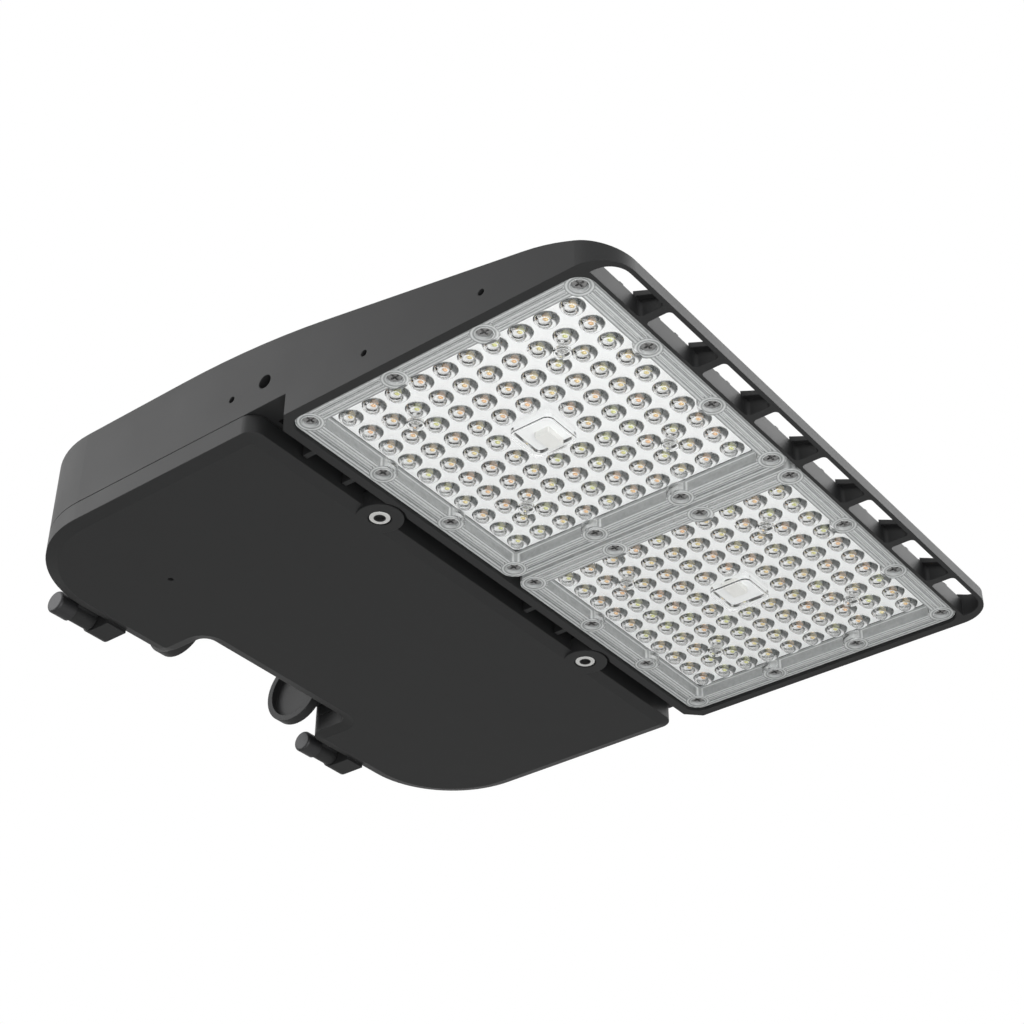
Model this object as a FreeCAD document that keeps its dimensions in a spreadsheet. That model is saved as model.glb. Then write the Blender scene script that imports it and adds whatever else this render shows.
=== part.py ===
import FreeCAD, Part
import math
import os
from types import SimpleNamespace

import Sketcher
from FreeCAD import Placement, Rotation, Vector

# Shoebox area light, millimetres. The origin is the centre of the face in the rear
# notch that the pole arm bolts to. X runs across the lamp, Y from the arm towards
# the LED end, Z up. The lamp shines down, towards -Z.

SIZES = {
    # plan of the whole lamp
    "half_width": 173.0,
    "rear_reach": 30.4,
    "front_reach": 347.0,
    "rear_corner": 56.0,
    "front_corner": 18.0,
    "notch_half_width": 57.0,
    "notch_corner": 7.0,
    "notch_lip": 8.0,
    # levels
    "rim_level": -34.0,
    "seam_level": -21.4,
    "crown_level": 20.5,
    "break_reach": 140.8,
    "slope_reach": 313.6,
    "slope_level": -12.8,
    "nose_level": -27.4,
    "break_radius": 500.0,
    "slope_radius": 105.0,
    # rear box
    "wall": 5.5,
    "ceiling_level": 13.0,
    "upper_room_reach": 152.0,
    "rim_back_reach": 157.8,
    "rim_bevel": 8.0,
    # groove between door and rim
    "groove_rib": 3.0,
    "groove_rib_step": 27.5,
    "groove_roof_level": -8.0,
    "groove_roof": 3.0,
    # heat sink
    "fin_pitch": 14.0,
    "fin_thickness": 2.4,
    "fin_gaps": 24,
    "floor_level": -20.5,
    "seat_level": -24.0,
    "fin_start_reach": 160.0,
    "fin_end_reach": 329.9,
    # front slots
    "slot_half_width": 166.3,
    "slot_back_reach": 331.9,
    "slot_front_reach": 344.7,
    "slot_corner": 11.0,
    "slot_sill_level": -23.8,
    "rib_pitch": 42.7,
    "rib_count": 7,
    "rib_leg": 4.5,
    "rib_cap": 10.0,
    "rib_cap_front_level": -28.8,
    "rib_fillet": 2.2,
    "rib_root": 1.0,
    # LED modules
    "led_pitch": 14.0,
    "leds_per_row": 10,
    "module_offset": 84.4,
    "module_reach": 246.4,
    "lens_half": 83.3,
    "lens_corner": 8.0,
    "pan_clearance": 0.4,
    "border_level": -32.2,
    "field_level": -27.4,
    "field_thickness": 1.3,
    "border_width": 10.5,
    "border_groove": 1.2,
    "border_groove_depth": 0.9,
    "dome_radius": 5.9,
    "dome_height": 3.9,
    "window_half": 12.0,
    "window_corner": 4.0,
    "window_height": 3.0,
    "window_wall": 1.2,
    "lens_screw_offset": 76.0,
    "screw_tower": 7.0,
    "lens_head_radius": 3.7,
    "lens_head_height": 2.2,
    "lens_head_sink": 1.2,
    "lens_shank_radius": 1.9,
    "screw_end_level": -19.6,
    "screw_boss_radius": 4.5,
    "screw_boss_level": -15.0,
    "board_screw_offset": 42.0,
    "pin_tower": 4.1,
    "pin_tower_height": 2.0,
    "pin_tower_wall": 0.8,
    "board_half": 71.0,
    "board_thickness": 1.5,
    "board_head_radius": 2.6,
    "board_head_height": 1.2,
    "board_shank_radius": 1.4,
    "board_screw_depth": 2.4,
    "chip_side": 3.0,
    "chip_height": 0.5,
    "connector_length": 12.0,
    "connector_width": 8.0,
    "connector_height": 3.2,
    "connector_floor": 1.2,
    "connector_corner": 0.6,
    "seal_width": 3.3,
    "seal_inset": 0.8,
    # door
    "door_reach": 146.3,
    "door_corner": 8.0,
    "door_floor": 2.5,
    "seam_gap": 0.3,
    "bevel_depth": 2.0,
    "bevel_width": 6.3,
    "gasket_width": 2.9,
    "gasket_depth": 3.0,
    "tongue_radius": 12.0,
    "tongue_height": 9.0,
    "tongue_clearance": 1.3,
    "weep_offset": 109.0,
    "weep_reach": 27.0,
    "weep_radius": 1.5,
    # door screws
    "door_screw_offset": 85.0,
    "door_screw_reach": 147.0,
    "door_head_radius": 5.5,
    "door_head_height": 3.2,
    "door_head_pocket": 3.5,
    "socket_radius": 2.7,
    "socket_depth": 2.0,
    "neck_radius": 2.3,
    "thread_radius": 3.0,
    "thread_length": 8.0,
    "screw_travel": 7.0,
    "screw_play": 1.0,
    "head_play": 0.4,
    "retainer_radius": 4.4,
    "retainer_thickness": 1.0,
    # hinges
    "hinge_reach": -43.5,
    "hinge_level": -28.0,
    "knuckle_radius": 6.0,
    "lug_radius": 5.25,
    "pin_radius": 2.5,
    "pin_play": 0.05,
    "hole_play": 0.3,
    "pin_head_radius": 6.2,
    "pin_head_length": 11.0,
    "tab_width": 13.0,
    "lug_width": 14.0,
    "hinge_gap": 0.4,
    "right_tab": 87.0,
    "left_tab": -103.0,
    "lug_rise": 14.0,
    "lug_step": 3.0,
    # arm mounting
    "arm_hole_radius": 4.2,
    "arm_hole_depth": 13.0,
    "boss_floor": 2.0,
    "arm_spacing_across": 60.0,
    "arm_spacing_up": 22.0,
    "arm_boss_radius": 8.0,
    "wire_hole_radius": 9.0,
    "grommet_wall": 2.0,
    "grommet_flange": 2.5,
    "grommet_lip": 1.5,
    # knuckle cups
    "cup_reach": -34.3,
    "cup_level": -5.6,
    "cup_radius": 20.0,
    "cup_bore": 16.5,
    "cup_inner_face": 44.8,
    "cup_thickness": 6.0,
    "cup_depth": 4.0,
    "cup_web_front": -12.0,
    "cup_web_low": -14.0,
    "cup_web_high": 0.0,
    # side wall holes
    "side_bolt_reach": 151.2,
    "side_bolt_level": -7.1,
    "side_bolt_radius": 3.7,
    "side_bolt_depth": 9.0,
    "index_reach": 129.9,
    "index_level": -7.6,
    "index_radius": 1.7,
    "index_depth": 4.0,
    "shield_near_reach": 213.2,
    "shield_far_reach": 279.7,
    "shield_level": -21.5,
    # wire tunnels
    "lead_shift": 8.5,
    "connector_shift": 4.5,
    "tunnel_half_width": 8.0,
    "tunnel_level": -14.2,
    "tunnel_bore": 3.2,
    "tunnel_wall": 3.5,
    "lead_radius": 1.5,
    "lead_bend": 7.0,
    # electrical pieces in the rear box
    "driver_half_length": 125.0,
    "driver_back": 60.0,
    "driver_width": 66.0,
    "driver_height": 34.0,
    "driver_edge": 2.5,
    "driver_shoulder": 6.0,
    "flange_length": 12.0,
    "flange_thickness": 3.0,
    "driver_screw_radius": 2.0,
    "driver_head_radius": 4.0,
    "driver_head_height": 2.5,
    "driver_screw_depth": 3.5,
    "terminal_offset": 100.0,
    "terminal_reach": 24.0,
    "terminal_length": 48.0,
    "terminal_width": 20.0,
    "terminal_height": 18.0,
    "terminal_ways": 3,
    "terminal_way_pitch": 14.0,
    "terminal_base_height": 5.0,
    "terminal_ear_length": 7.5,
    "terminal_entry_depth": 6.0,
    "terminal_clamp_radius": 2.2,
    "terminal_clamp_depth": 3.0,
    "surge_offset": -40.0,
    "surge_reach": 36.0,
    "surge_length": 52.0,
    "surge_width": 34.0,
    "surge_height": 27.0,
    "surge_corner": 3.0,
    "surge_ear_length": 10.0,
    "surge_ear_width": 12.0,
    "surge_lead_spacing": 7.0,
    "ear_thickness": 3.0,
    "small_screw_radius": 1.7,
    "small_head_radius": 3.2,
    "small_head_height": 2.0,
    "supply_lead_radius": 1.3,
    "ground_offset": 150.0,
    "ground_reach": 24.0,
    "ground_shank_radius": 2.0,
    "ground_head_radius": 4.2,
    "ground_head_height": 3.0,
    "ground_depth": 3.5,
}


class Size:
    """A length that keeps its sheet formula beside its number."""

    def __init__(self, formula, number):
        self.formula = formula
        self.number = number

    def __add__(self, other):
        other = as_size(other)
        return Size(f"({self.formula} + {other.formula})", self.number + other.number)

    def __sub__(self, other):
        other = as_size(other)
        return Size(f"({self.formula} - {other.formula})", self.number - other.number)

    def __mul__(self, other):
        other = as_size(other)
        return Size(f"({self.formula} * {other.formula})", self.number * other.number)

    def __truediv__(self, other):
        other = as_size(other)
        return Size(f"({self.formula} / {other.formula})", self.number / other.number)

    def __neg__(self):
        return Size(f"(0 - {self.formula})", -self.number)

    def __rsub__(self, other):
        return as_size(other) - self

    __radd__ = __add__
    __rmul__ = __mul__


def as_size(value):
    """Turn a plain number into a Size."""
    if isinstance(value, Size):
        return value
    if value < 0:
        return Size(f"(0 - {abs(float(value))!r})", float(value))
    return Size(repr(float(value)), float(value))


doc = FreeCAD.newDocument("shoebox_area_light")
sheet = doc.addObject("Spreadsheet::Sheet", "Sizes")
for row, (alias, value) in enumerate(SIZES.items(), start=1):
    sheet.set(f"A{row}", alias)
    sheet.set(f"B{row}", str(value))
    sheet.setAlias(f"B{row}", alias)
doc.recompute()
size = SimpleNamespace(**{name: Size(f"Sizes.{name}", number) for name, number in SIZES.items()})

# A cut starts this far outside the face that it opens, and a join runs this far in.
OVER = 1.0

# Places that several pieces share, worked out from the sheet.
rear = -size.rear_reach
skirt_top = size.seam_level - size.seam_gap
slope_fall = (size.nose_level - size.slope_level) / (size.front_reach - size.slope_reach)
door_floor_top = size.rim_level + size.door_floor
tongue_top = size.rim_level + size.tongue_height
groove_bottom = size.seam_level - size.gasket_depth - size.seam_gap
border_top = size.field_level + size.field_thickness
board_face = size.seat_level - size.board_thickness
seal_lip = (size.wall - size.gasket_width) / 2
seal_front = size.door_screw_reach - size.retainer_radius - size.hole_play * 2
room_front = seal_front - size.gasket_width - seal_lip
groove_back = size.door_reach + size.tongue_clearance * 2
nodes = []


def bind(thing, name, value):
    """Let the sheet drive one property."""
    thing.setExpression(name, as_size(value).formula)


def keep(thing, label):
    """Name a finished piece and list it for export."""
    thing.Label = label
    nodes.append(thing)
    return thing


def new_body(name):
    return doc.addObject("PartDesign::Body", name)


def new_sketch(body, plane, lift, name):
    """A sketch on one of the body's own planes, lifted along the plane's normal."""
    sketch = body.newObject("Sketcher::SketchObject", name)
    support = [item for item in body.Origin.OriginFeatures if item.Role == plane]
    sketch.AttachmentSupport = (support[0], [""])
    sketch.MapMode = "FlatFace"
    bind(sketch, "AttachmentOffset.Base.z", lift)
    return sketch


def hold(sketch, kind, references, value):
    """Add one dimension to a sketch and tie it to the sheet."""
    value = as_size(value)
    place = sketch.addConstraint(Sketcher.Constraint(kind, *references, value.number))
    sketch.setExpression(f"Constraints[{place}]", value.formula)


def draw_circle(sketch, across, along, radius):
    """A circle held by its centre and radius."""
    across = as_size(across)
    along = as_size(along)
    centre = Vector(across.number, along.number, 0)
    index = sketch.addGeometry(Part.Circle(centre, Vector(0, 0, 1), as_size(radius).number))
    hold(sketch, "DistanceX", (-1, 1, index, 3), across)
    hold(sketch, "DistanceY", (-1, 1, index, 3), along)
    hold(sketch, "Radius", (index,), radius)


def draw_outline(sketch, corners):
    """A closed outline. A corner is (across, along) or (across, along, radius)."""
    count = len(corners)
    points = [(as_size(corner[0]), as_size(corner[1])) for corner in corners]
    radii = [corner[2] if len(corner) > 2 else None for corner in corners]

    def heading(start, end):
        across = points[end][0].number - points[start][0].number
        along = points[end][1].number - points[start][1].number
        length = math.hypot(across, along)
        return across / length, along / length

    ends = []
    for index in range(count):
        into = heading(index - 1, index)
        out = heading(index, (index + 1) % count)
        across, along = points[index]
        radius = radii[index]
        if radius is None:
            ends.append(((across, along), (across, along)))
            continue
        # these rounded corners are square, so the arc starts one radius away
        first = (across - round(into[0]) * radius, along - round(into[1]) * radius)
        last = (across + round(out[0]) * radius, along + round(out[1]) * radius)
        ends.append((first, last))

    def vector(point):
        return Vector(point[0].number, point[1].number, 0)

    lines = []
    for index in range(count):
        start = ends[index][1]
        end = ends[(index + 1) % count][0]
        line = sketch.addGeometry(Part.LineSegment(vector(start), vector(end)))
        lines.append(line)
        hold(sketch, "DistanceX", (-1, 1, line, 1), start[0])
        hold(sketch, "DistanceY", (-1, 1, line, 1), start[1])
        if radii[(index + 1) % count] is not None:
            hold(sketch, "DistanceX", (-1, 1, line, 2), end[0])
            hold(sketch, "DistanceY", (-1, 1, line, 2), end[1])
    for index in range(count):
        before = lines[index - 1]
        after = lines[index]
        if radii[index] is None:
            sketch.addConstraint(Sketcher.Constraint("Coincident", before, 2, after, 1))
            continue
        start = vector(ends[index][0])
        end = vector(ends[index][1])
        corner = vector(points[index])
        centre = start + end - corner
        middle = centre + (corner - centre).normalize() * as_size(radii[index]).number
        arc = sketch.addGeometry(Part.Arc(start, middle, end))
        # an arc's own ends run anticlockwise, so find which end is which
        ends_match = sketch.getPoint(arc, 1).distanceToPoint(start) < 0.001
        near = 1 if ends_match else 2
        sketch.addConstraint(Sketcher.Constraint("Coincident", before, 2, arc, near))
        sketch.addConstraint(Sketcher.Constraint("Coincident", after, 1, arc, 3 - near))
        hold(sketch, "Radius", (arc,), radii[index])


def pad(body, sketch, length, name):
    """Add material along the sketch's normal."""
    feature = body.newObject("PartDesign::Pad", name)
    feature.Profile = sketch
    bind(feature, "Length", length)
    return feature


def pocket(body, sketch, depth, name, inward=True):
    """Cut along the sketch's normal, or against it when inward is False."""
    feature = body.newObject("PartDesign::Pocket", name)
    feature.Profile = sketch
    feature.Reversed = inward
    bind(feature, "Length", depth)
    return feature


def row(body, features, axis, spacing, count, name):
    """Repeat features in a straight row."""
    pattern = body.newObject("PartDesign::LinearPattern", name)
    pattern.Originals = features
    support = [item for item in body.Origin.OriginFeatures if item.Role == axis]
    pattern.Direction = (support[0], [""])
    bind(pattern, "Length", spacing * (count - 1))
    bind(pattern, "Occurrences", count)
    body.Tip = pattern
    return pattern


def edge_names(shape, wanted):
    """The names of the edges for which wanted(edge) is true."""
    return [f"Edge{place}" for place, edge in enumerate(shape.Edges, start=1) if wanted(edge)]


def round_edges(body, wanted, radius, name):
    """Fillet the chosen edges of the body as it stands."""
    doc.recompute()
    base = body.Tip
    feature = body.newObject("PartDesign::Fillet", name)
    feature.Base = (base, edge_names(base.Shape, wanted))
    bind(feature, "Radius", radius)
    doc.recompute()
    return feature


def passes(edge, axis, **place):
    """True for a straight edge along axis ("x", "y" or "z") through the given place."""
    box = edge.BoundBox
    spans = {"x": box.XLength, "y": box.YLength, "z": box.ZLength}
    middle = {"x": box.Center.x, "y": box.Center.y, "z": box.Center.z}
    flat = all(span < 0.01 for name, span in spans.items() if name != axis)
    if not flat or spans[axis] < 0.5:
        return False
    return all(abs(middle[name] - as_size(value).number) < 0.02 for name, value in place.items())


def block(name, low, high):
    """A Part box between two corners."""
    box = doc.addObject("Part::Box", name)
    for side, axis, start, end in zip(("Length", "Width", "Height"), "xyz", low, high):
        bind(box, side, as_size(end) - start)
        bind(box, f"Placement.Base.{axis}", start)
    return box


TURNS = {
    "x": Rotation(Vector(0, 1, 0), 90),
    "y": Rotation(Vector(1, 0, 0), -90),
    "z": Rotation(),
}


def rod(name, start, axis, radius, length):
    """A Part cylinder from a start point along an axis."""
    cylinder = doc.addObject("Part::Cylinder", name)
    cylinder.Placement = Placement(Vector(), TURNS[axis])
    for letter, value in zip("xyz", start):
        bind(cylinder, f"Placement.Base.{letter}", value)
    bind(cylinder, "Radius", radius)
    bind(cylinder, "Height", length)
    return cylinder


def joined(name, pieces):
    union = doc.addObject("Part::MultiFuse", name)
    union.Shapes = pieces
    return union


def cut_from(name, base, tools):
    """Take one tool, or several joined, away from a base."""
    result = doc.addObject("Part::Cut", name)
    result.Base = base
    result.Tool = tools[0] if len(tools) == 1 else joined(name + "_tools", tools)
    return result


def softened(name, base, wanted, radius):
    """Round the chosen edges of a Part object."""
    doc.recompute()
    result = doc.addObject("Part::Fillet", name)
    result.Base = base
    number = as_size(radius).number
    result.Edges = [(int(edge[len("Edge"):]), number, number)
                    for edge in edge_names(base.Shape, wanted)]
    return result


def copies(label, piece, places):
    """Identical separate solids, kept together as one node."""
    doc.recompute()
    group = doc.addObject("Part::Feature", label)
    shapes = []
    for place in places:
        shape = piece.Shape.copy()
        shape.translate(Vector(*[as_size(value).number for value in place]))
        shapes.append(shape)
    group.Shape = Part.makeCompound(shapes)
    return keep(group, label)


def several(label, pieces):
    """Different solids of one kind, kept together as one node."""
    doc.recompute()
    group = doc.addObject("Part::Feature", label)
    group.Shape = Part.makeCompound([piece.Shape for piece in pieces])
    return keep(group, label)


def plan(inset, front, front_radius=None):
    """The lamp's plan with its rear notch, moved inwards by inset."""
    outer = size.half_width - inset
    inner = size.notch_half_width + inset
    back = rear + inset
    shelf = as_size(0) + inset
    turn = size.rear_corner - inset
    lip = size.notch_lip - inset
    root = size.notch_corner + inset
    front_turn = () if front_radius is None else (front_radius,)
    return [
        (-outer, back, turn),
        (-inner, back, lip),
        (-inner, shelf, root),
        (inner, shelf, root),
        (inner, back, lip),
        (outer, back, turn),
        (outer, front, *front_turn),
        (-outer, front, *front_turn),
    ]


def square(across, along, half, radius):
    """A rounded square about a centre."""
    return [
        (across - half, along - half, radius),
        (across + half, along - half, radius),
        (across + half, along + half, radius),
        (across - half, along + half, radius),
    ]


def rectangle(left, right, back, front):
    return [(left, back), (right, back), (right, front), (left, front)]


def rounded(corners, radius):
    return [(across, along, radius) for across, along in corners]


def module_centres():
    return {"right": size.module_offset, "left": -size.module_offset}


def lead_places():
    """Where each lead rises, a little inboard of its module's centre."""
    across = size.module_offset - size.lead_shift
    return {"right": across, "left": -across}


def lens_screw_places():
    """Twelve places round a module: the corners and the thirds of each side."""
    edge = size.lens_screw_offset
    third = edge / 3
    places = []
    for across in (-edge, -third, third, edge):
        for along in (-edge, -third, third, edge):
            on_side = across.number in (-edge.number, edge.number)
            on_end = along.number in (-edge.number, edge.number)
            if on_side or on_end:
                places.append((across, along))
    return places


def board_screw_places():
    step = size.board_screw_offset
    return [(across, along) for across in (-step, step) for along in (-step, step)]


def led_places():
    """The LED grid about a module's centre, without the four in the middle."""
    count = int(size.leds_per_row.number)
    places = []
    for column in range(count):
        for line in range(count):
            across = column - (count - 1) / 2
            along = line - (count - 1) / 2
            if max(abs(across), abs(along)) > 1:
                places.append((size.led_pitch * across, size.led_pitch * along))
    return places


# ---------------------------------------------------------------- housing


def crown_level_at(reach):
    """Height of the sloping nose at a reach beyond the slope's start."""
    return size.slope_level + slope_fall * (reach - size.slope_reach)


def housing_shell(body):
    """The outer form: a side profile padded across, then its corners rounded."""
    side = new_sketch(body, "YZ_Plane", -size.half_width, "side_profile")
    draw_outline(side, [
        (rear, size.seam_level),
        (size.rim_back_reach, size.seam_level),
        (size.rim_back_reach, size.rim_level),
        (size.front_reach, size.rim_level),
        (size.front_reach, size.nose_level),
        (size.slope_reach, size.slope_level),
        (size.break_reach, size.crown_level),
        (rear, size.crown_level),
    ])
    pad(body, side, size.half_width * 2, "shell")

    def break_line(edge):
        return passes(edge, "x", y=size.break_reach, z=size.crown_level)

    def slope_line(edge):
        return passes(edge, "x", y=size.slope_reach, z=size.slope_level)

    round_edges(body, break_line, size.break_radius, "break_round")
    round_edges(body, slope_line, size.slope_radius, "slope_round")
    for turn, name in ((size.half_width, "right"), (-size.half_width, "left")):
        round_edges(body, lambda edge: passes(edge, "z", x=turn, y=rear),
                    size.rear_corner, f"rear_corner_{name}")
        round_edges(body, lambda edge: passes(edge, "z", x=turn, y=size.front_reach),
                    size.front_corner, f"front_corner_{name}")
    doc.recompute()
    bevel_base = body.Tip
    bevel = body.newObject("PartDesign::Chamfer", "rim_bevels")
    bevel.Base = (bevel_base, edge_names(bevel_base.Shape, lambda edge: passes(
        edge, "z", y=size.rim_back_reach) and abs(edge.BoundBox.Center.x) > size.half_width.number - 1))
    bind(bevel, "Size", size.rim_bevel)


def housing_notch(body):
    """The open notch that the pole arm's head sits in."""
    notch = new_sketch(body, "XY_Plane", size.rim_level, "notch_plan")
    draw_outline(notch, [
        (-size.notch_half_width, rear - size.wall),
        (size.notch_half_width, rear - size.wall),
        (size.notch_half_width, 0, size.notch_corner),
        (-size.notch_half_width, 0, size.notch_corner),
    ])
    pocket(body, notch, size.crown_level - size.rim_level + size.wall, "notch")
    round_edges(body, lambda edge: passes(edge, "z", y=rear)
                and abs(abs(edge.BoundBox.Center.x) - size.notch_half_width.number) < 0.02,
                size.notch_lip, "notch_lips")


def door_screw_offsets():
    return {"right": size.door_screw_offset, "left": -size.door_screw_offset}


def housing_box(body):
    """The room for the driver, open at the seam, and deeper above the groove."""
    room = new_sketch(body, "XY_Plane", size.seam_level, "room_plan")
    draw_outline(room, plan(size.wall, room_front))
    pocket(body, room, size.ceiling_level - size.seam_level, "room")
    step_level = size.groove_roof_level + size.groove_roof
    step = new_sketch(body, "XY_Plane", step_level, "upper_room_plan")
    side = size.half_width - size.wall
    draw_outline(step, rectangle(-side, side, room_front - OVER, size.upper_room_reach))
    pocket(body, step, size.ceiling_level - step_level, "upper_room")
    holes = new_sketch(body, "XY_Plane", size.seam_level - OVER, "door_hole_plan")
    for across in door_screw_offsets().values():
        draw_circle(holes, across, size.door_screw_reach, size.thread_radius + size.screw_play)
    depth = door_thread_top() + size.screw_play - size.seam_level + OVER
    pocket(body, holes, depth, "door_holes")
    relief = new_sketch(body, "XY_Plane", size.rim_level - OVER, "tongue_relief_plan")
    for across in door_screw_offsets().values():
        draw_circle(relief, across, size.door_screw_reach, size.tongue_radius + size.tongue_clearance)
    pocket(body, relief, size.seam_level - size.rim_level + OVER, "tongue_reliefs")


def housing_groove(body):
    """Deep pockets in the groove's roof, with two thin ribs beside each door screw."""
    outer = size.half_width - size.side_bolt_depth - size.boss_floor * 2
    inner = size.door_screw_offset + size.tongue_radius + size.tongue_clearance
    middle = size.module_offset - size.lead_shift - size.tunnel_half_width - OVER
    front = size.rim_back_reach - OVER
    pockets = new_sketch(body, "XY_Plane", size.seam_level - OVER, "groove_pocket_plan")
    for left, right in ((-outer, -inner), (-middle, middle), (inner, outer)):
        draw_outline(pockets, rectangle(left, right, groove_back, front))
    pocket(body, pockets, size.groove_roof_level - size.seam_level + OVER, "groove_pockets")
    bottom = size.rim_level + (size.seam_level - size.rim_level) / 3
    ribs = new_sketch(body, "XY_Plane", bottom, "groove_rib_plan")
    for screw in door_screw_offsets().values():
        for step in (1, 2):
            across = screw + size.groove_rib_step * step
            draw_outline(ribs, rectangle(across - size.groove_rib / 2, across + size.groove_rib / 2,
                                         groove_back - OVER, size.rim_back_reach + OVER))
    pad(body, ribs, size.groove_roof_level - bottom + OVER, "groove_ribs")


def housing_pan(body):
    """The sunk floor for the two LED modules."""
    edge = size.lens_half + size.pan_clearance
    side = size.module_offset + edge
    pan = new_sketch(body, "XY_Plane", size.rim_level - OVER, "pan_plan")
    draw_outline(pan, rounded(
        rectangle(-side, side, size.module_reach - edge, size.module_reach + edge),
        size.lens_corner + size.pan_clearance))
    pocket(body, pan, size.seat_level - size.rim_level + OVER, "pan")


def housing_fins(body):
    """Lengthwise fins, left standing between pockets cut from the top."""
    gap = size.fin_pitch - size.fin_thickness
    start = (size.fin_gaps - 1) * size.fin_pitch / 2
    cut = new_sketch(body, "XY_Plane", size.floor_level, "fin_gap_plan")
    draw_outline(cut, rectangle(-start - gap / 2, -start + gap / 2,
                                size.fin_start_reach, size.fin_end_reach))
    first = pocket(body, cut, size.crown_level - size.floor_level + OVER, "fin_gap")
    row(body, [first], "X_Axis", size.fin_pitch, size.fin_gaps, "fin_gaps")
    bosses = new_sketch(body, "XY_Plane", size.seat_level, "screw_boss_plan")
    for centre in module_centres().values():
        for across, along in lens_screw_places():
            draw_circle(bosses, centre + across, size.module_reach + along, size.screw_boss_radius)
    pad(body, bosses, size.screw_boss_level - size.seat_level, "screw_bosses")


def housing_tunnels(body):
    """Cast tunnels that carry the LED leads over the floor to each module."""
    top = size.tunnel_level + size.tunnel_bore + size.tunnel_wall
    end = size.module_reach + size.tunnel_half_width
    walls = new_sketch(body, "XY_Plane", size.seat_level, "tunnel_plan")
    for centre in lead_places().values():
        draw_outline(walls, rectangle(centre - size.tunnel_half_width, centre + size.tunnel_half_width,
                                      size.rim_back_reach + OVER, end))
    pad(body, walls, top - size.seat_level, "tunnels")
    start = room_front - OVER
    bores = new_sketch(body, "XZ_Plane", -start, "tunnel_bore_plan")
    for centre in lead_places().values():
        draw_circle(bores, centre, size.tunnel_level, size.tunnel_bore)
    pocket(body, bores, size.module_reach - start, "tunnel_bores", inward=False)
    drops = new_sketch(body, "XY_Plane", size.seat_level - OVER, "tunnel_drop_plan")
    for centre in lead_places().values():
        draw_circle(drops, centre, size.module_reach, size.tunnel_bore + size.hole_play)
    pocket(body, drops, size.tunnel_level + size.tunnel_bore - size.seat_level + OVER, "tunnel_drops")


def housing_slots(body):
    """The row of air slots behind the front bar, and the T ribs between them."""
    opening = new_sketch(body, "XY_Plane", size.rim_level - OVER, "slot_plan")
    draw_outline(opening, [
        (-size.slot_half_width, size.slot_back_reach),
        (size.slot_half_width, size.slot_back_reach),
        (size.slot_half_width, size.slot_front_reach, size.slot_corner),
        (-size.slot_half_width, size.slot_front_reach, size.slot_corner),
    ])
    pocket(body, opening, size.crown_level - size.rim_level, "slots")
    wedge = new_sketch(body, "YZ_Plane", -size.slot_half_width, "sill_profile")
    draw_outline(wedge, [
        (size.slot_back_reach, size.slot_sill_level),
        (size.slot_back_reach + OVER, size.slot_sill_level),
        (size.slot_back_reach + OVER, size.slope_level),
        (size.fin_end_reach, size.slope_level),
        (size.fin_end_reach, size.floor_level),
    ])
    pocket(body, wedge, size.slot_half_width * 2, "sill_bevel")

    half_row = size.rib_pitch * (size.rib_count - 1) / 2
    back = size.slot_back_reach - size.rib_root
    front = size.slot_front_reach + size.rib_root
    leg = new_sketch(body, "YZ_Plane", -half_row - size.rib_leg / 2, "rib_leg_profile")
    draw_outline(leg, [
        (back, size.rim_level),
        (front, size.rim_level),
        (front, size.rib_cap_front_level + size.rib_root / 2),
        (back, size.slot_sill_level + size.rib_root / 2),
    ])
    row(body, [pad(body, leg, size.rib_leg, "rib_leg")], "X_Axis",
        size.rib_pitch, size.rib_count, "rib_legs")
    faces = (size.slot_back_reach.number, size.slot_front_reach.number)

    def leg_corner(edge):
        at_face = any(abs(edge.BoundBox.Center.y - face) < 0.02 for face in faces)
        inside = abs(edge.BoundBox.Center.x) < half_row.number + size.rib_leg.number
        return at_face and inside and passes(edge, "z")

    round_edges(body, leg_corner, size.rib_fillet, "rib_fillets")
    cap = new_sketch(body, "YZ_Plane", -half_row - size.rib_cap / 2, "rib_cap_profile")
    draw_outline(cap, [
        (back, size.slot_sill_level),
        (size.slot_back_reach, size.slot_sill_level),
        (size.slot_front_reach, size.rib_cap_front_level),
        (front, size.rib_cap_front_level),
        (front, crown_level_at(front)),
        (back, crown_level_at(back)),
    ])
    row(body, [pad(body, cap, size.rib_cap, "rib_cap")], "X_Axis",
        size.rib_pitch, size.rib_count, "rib_caps")


def housing_lens_holes(body):
    """Blind holes for the lens and board screws."""
    holes = new_sketch(body, "XY_Plane", size.seat_level - OVER, "lens_hole_plan")
    for centre in module_centres().values():
        for across, along in lens_screw_places():
            draw_circle(holes, centre + across, size.module_reach + along,
                        size.lens_shank_radius + size.pin_play)
    pocket(body, holes, size.screw_end_level - size.seat_level + OVER + size.pin_play, "lens_holes")
    small = new_sketch(body, "XY_Plane", size.seat_level - OVER, "board_hole_plan")
    for centre in module_centres().values():
        for across, along in board_screw_places():
            draw_circle(small, centre + across, size.module_reach + along,
                        size.board_shank_radius + size.pin_play)
    pocket(body, small, size.board_screw_depth + OVER + size.pin_play, "board_holes")


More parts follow.
